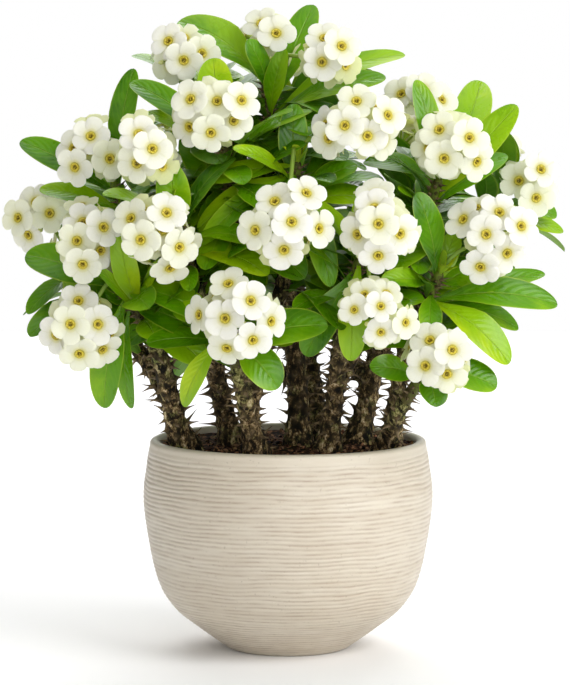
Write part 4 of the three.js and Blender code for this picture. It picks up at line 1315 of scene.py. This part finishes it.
def grow_flower(skin, flower, heart, node, rng, detail):
    """Petals round a cup with a yellow ring, on its own stalk."""
    facing, spin, size = flower.facing, flower.spin, flower.radius / FLOWER["radius"]
    tone, around = rng.uniform(*detail["tone"]), detail["around"]
    for lobe in range(5):
        grow_petal(skin, flower, spin + 72 * lobe + rng.uniform(*PETAL["turn"]), tone, rng, detail)
    centre = along(flower.rim, facing, -FLOWER["dish"] * size)
    for profile, slot in ((RING["cup"], 2), (RING["rim"], 1)):
        rings = [[flower_point(centre, facing, r * size, spin + 360 * i / around, h * size)
                  for i in range(around)] for r, h in profile]
        shares = [0.9 if slot == 2 else min(r / RING["radius"], 1) for r, _ in profile]
        skin.loft(rings, [[(share, 0, 0)] * around for share in shares], slot)
    if detail is FULL:
        middle(skin, centre, facing, spin, size)
    neck = along(centre, facing, -PEDICEL["below"] * size)
    reach = (neck - node).length / 3
    leaving = toward(heart, node) if node != heart else flower.direction
    pedicel = Bezier(node, along(node, leaving, reach), along(neck, facing, -reach), neck)
    last = len(PEDICEL["radii"]) - 1
    skin.tube([pedicel.at(k / last) for k in range(last + 1)], PEDICEL["radii"], 5, 2,
              lambda share: (0.4 + 0.5 * share, 0, 0))


def middle(skin, centre, facing, spin, size):
    """The plump glands on the yellow ring and the stamens in its middle."""
    for k in range(GLANDS["count"]):
        turn = spin + LOBE + 72 * k
        place = flower_point(centre, facing, GLANDS["out"] * size, turn, GLANDS["up"] * size)
        side = toward(centre, flower_point(centre, facing, 1, turn + 90, 0))
        skin.ball(place, side, GLANDS["length"] * size, GLANDS["radius"] * size, 1, (0.7, 0, 0), 6, 4)
    for k in range(STAMENS["count"]):
        place = flower_point(centre, facing, STAMENS["out"] * size, spin + 120 * k, STAMENS["up"] * size)
        coat = 0.2 if k == 0 else 0.6, 0, 0
        skin.ball(place, facing, STAMENS["length"] * size, STAMENS["radius"] * size, 1, coat, 5, 4)


def grow_head(name, rng):
    head, packed, added = HEADS[name], found_flowers[name], added_flowers[name]
    heart, curve = Vector(head["heart"]), stalk_curve(name)
    skin = Skin()
    steps = range(HEAD_STALK["steps"] + 1)
    path = [curve.at(k / HEAD_STALK["steps"]) for k in steps]
    radii = [STALK["radius"] * (HEAD_STALK["root"] - HEAD_STALK["thinner"] * k) for k in steps]
    skin.tube(path, radii, HEAD_STALK["sides"], 2, lambda share: (0.5 * share, 0, 0))
    skin.ball(heart, curve.tangent(1), *HEAD_STALK["knot"], 2, (0.5, 0, 0))
    for flower in packed:
        near = [other.direction for other in packed
                if other.direction.angle(flower.direction) < radians(BRANCH["shared"])]
        shared = sum(near, Vector()).normalized()
        path = [along(heart, shared, BRANCH["length"] * share) for share in (0, 0.5, 1)]
        skin.tube(path, BRANCH["radii"], 6, 2, lambda share: (0.4, 0, 0))
        grow_flower(skin, flower, heart, path[-1], rng, FULL)
    for flower in added:
        grow_flower(skin, flower, heart, heart, rng, PLAIN)
    buds(skin, head, [flower.direction for flower in packed + added], heart, rng)
    skin.piece(f"bloom_{name}", [f"flowers_{name}"], [PETAL_SKIN, GLAND, STALK_SKIN], 55)


def buds(skin, head, taken, heart, rng):
    """A few closed buds between the flowers, lower than they are."""
    places = list(cap_directions(head_front(head), HEAD["cap"], HEAD["spiral"]))[::BUDS["every"]]
    free = [way for way in places if min(way.angle(other) for other in taken) >= radians(BUDS["spacing"])]
    for direction in free[:BUDS["count"]]:
        top = along(heart, direction, rng.uniform(*BUDS["out"]))
        path = [heart, along(heart, direction, BUDS["bent"]), top]
        skin.tube(path, BUDS["stalk"], 5, 2, lambda share: (0.7, 0, 0))
        length, radius = rng.uniform(*BUDS["length"]), rng.uniform(*BUDS["radius"])
        skin.ball(top, direction, length, radius, 0, (0.4, 0, 1))


# ---- the plant

found_leaves = {shoot: list(packed_leaves(shoot, turn)) for turn, shoot in enumerate(SHOOTS)}
found_flowers = {name: list(packed_flowers(name)) for name in HEADS}
flowers = [(name, flower) for name, found in found_flowers.items() for flower in found]
poses = [pose for found in found_leaves.values() for pose in found]
leaf_tree = tree_of([point for pose in poses for point in leaf_samples(*pose)])
print("found in the packed model:", len(flowers), "flowers,", len(poses), "leaves")
added_flowers = {name: list(fill_ins(name, random.Random(50 + k))) for k, name in enumerate(HEADS)}

pot()
soil(random.Random(1))
stems(random.Random(2))
shoots(random.Random(3))
for k, head_name in enumerate(HEADS):
    grow_head(head_name, random.Random(100 + k))

# ---- stage, light and camera


FLOOR = 2.6
WALLS = [(0.02, 1.0), (0.14, 0.26)]
CAMERA = {"place": (-0.0023, -2.7, 0.49), "down": 5.438, "lens": 188, "sensor": 36}
# Each light's place, what it points at, its size and its watts.
LIGHTS = {
    "key": ((1.95, -1.5, 1.7), (0, 0, 0.2), 2.2, 62),
    "front": ((0.1, -2.9, 1.2), (0, 0, 0.3), 1.8, 25),
    "sweep": ((0, 3.2, 3.0), (0, 1.2, 0), 4.0, 130),
    "ceiling": ((0, 0.4, 3.6), (0, 0, 0), 4.0, 38),
}


def floor():
    mesh = bpy.data.meshes.new("floor")
    corners = [(-FLOOR, -FLOOR, 0), (FLOOR, -FLOOR, 0), (FLOOR, FLOOR, 0), (-FLOOR, FLOOR, 0)]
    mesh.from_pydata(corners, [], [(0, 1, 2, 3)])
    mesh.materials.append(paper())
    added("floor", mesh)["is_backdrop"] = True


def lights():
    for name, (place, target, size, watts) in LIGHTS.items():
        data = bpy.data.lights.new(name, "AREA")
        data.shape, data.size, data.energy = "DISK", size, watts
        made = added(name, data)
        made.location = place
        made.rotation_euler = (Vector(target) - Vector(place)).to_track_quat("-Z", "Y").to_euler()


def world():
    """White walls up to a little above the plant, and a dimmer ceiling."""
    made = bpy.data.worlds.new("studio")
    made.use_nodes = True
    nodes, links = made.node_tree.nodes, made.node_tree.links
    place, split = nodes.new("ShaderNodeTexCoord"), nodes.new("ShaderNodeSeparateXYZ")
    ramp = nodes.new("ShaderNodeValToRGB")
    for element, (height, level) in zip(ramp.color_ramp.elements, WALLS):
        element.position, element.color = height, (level, level, level, 1)
    links.new(place.outputs["Generated"], split.inputs[0])
    links.new(split.outputs["Z"], ramp.inputs[0])
    links.new(ramp.outputs[0], nodes["Background"].inputs["Color"])
    bpy.context.scene.world = made


def camera():
    data = bpy.data.cameras.new("camera")
    data.sensor_fit, data.sensor_height, data.lens = "VERTICAL", CAMERA["sensor"], CAMERA["lens"]
    data.dof.use_dof = False
    made = added("camera", data)
    made.location = CAMERA["place"]
    made.rotation_euler = (radians(90 - CAMERA["down"]), 0, 0)
    bpy.context.scene.camera = made


floor()
world()
lights()
camera()
bpy.context.scene.view_settings.view_transform = "Standard"

boxes = {"cad": CAD_BOX, "visual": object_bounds()}
{name: [list(corner) for corner in box] for name, box in boxes.items()}
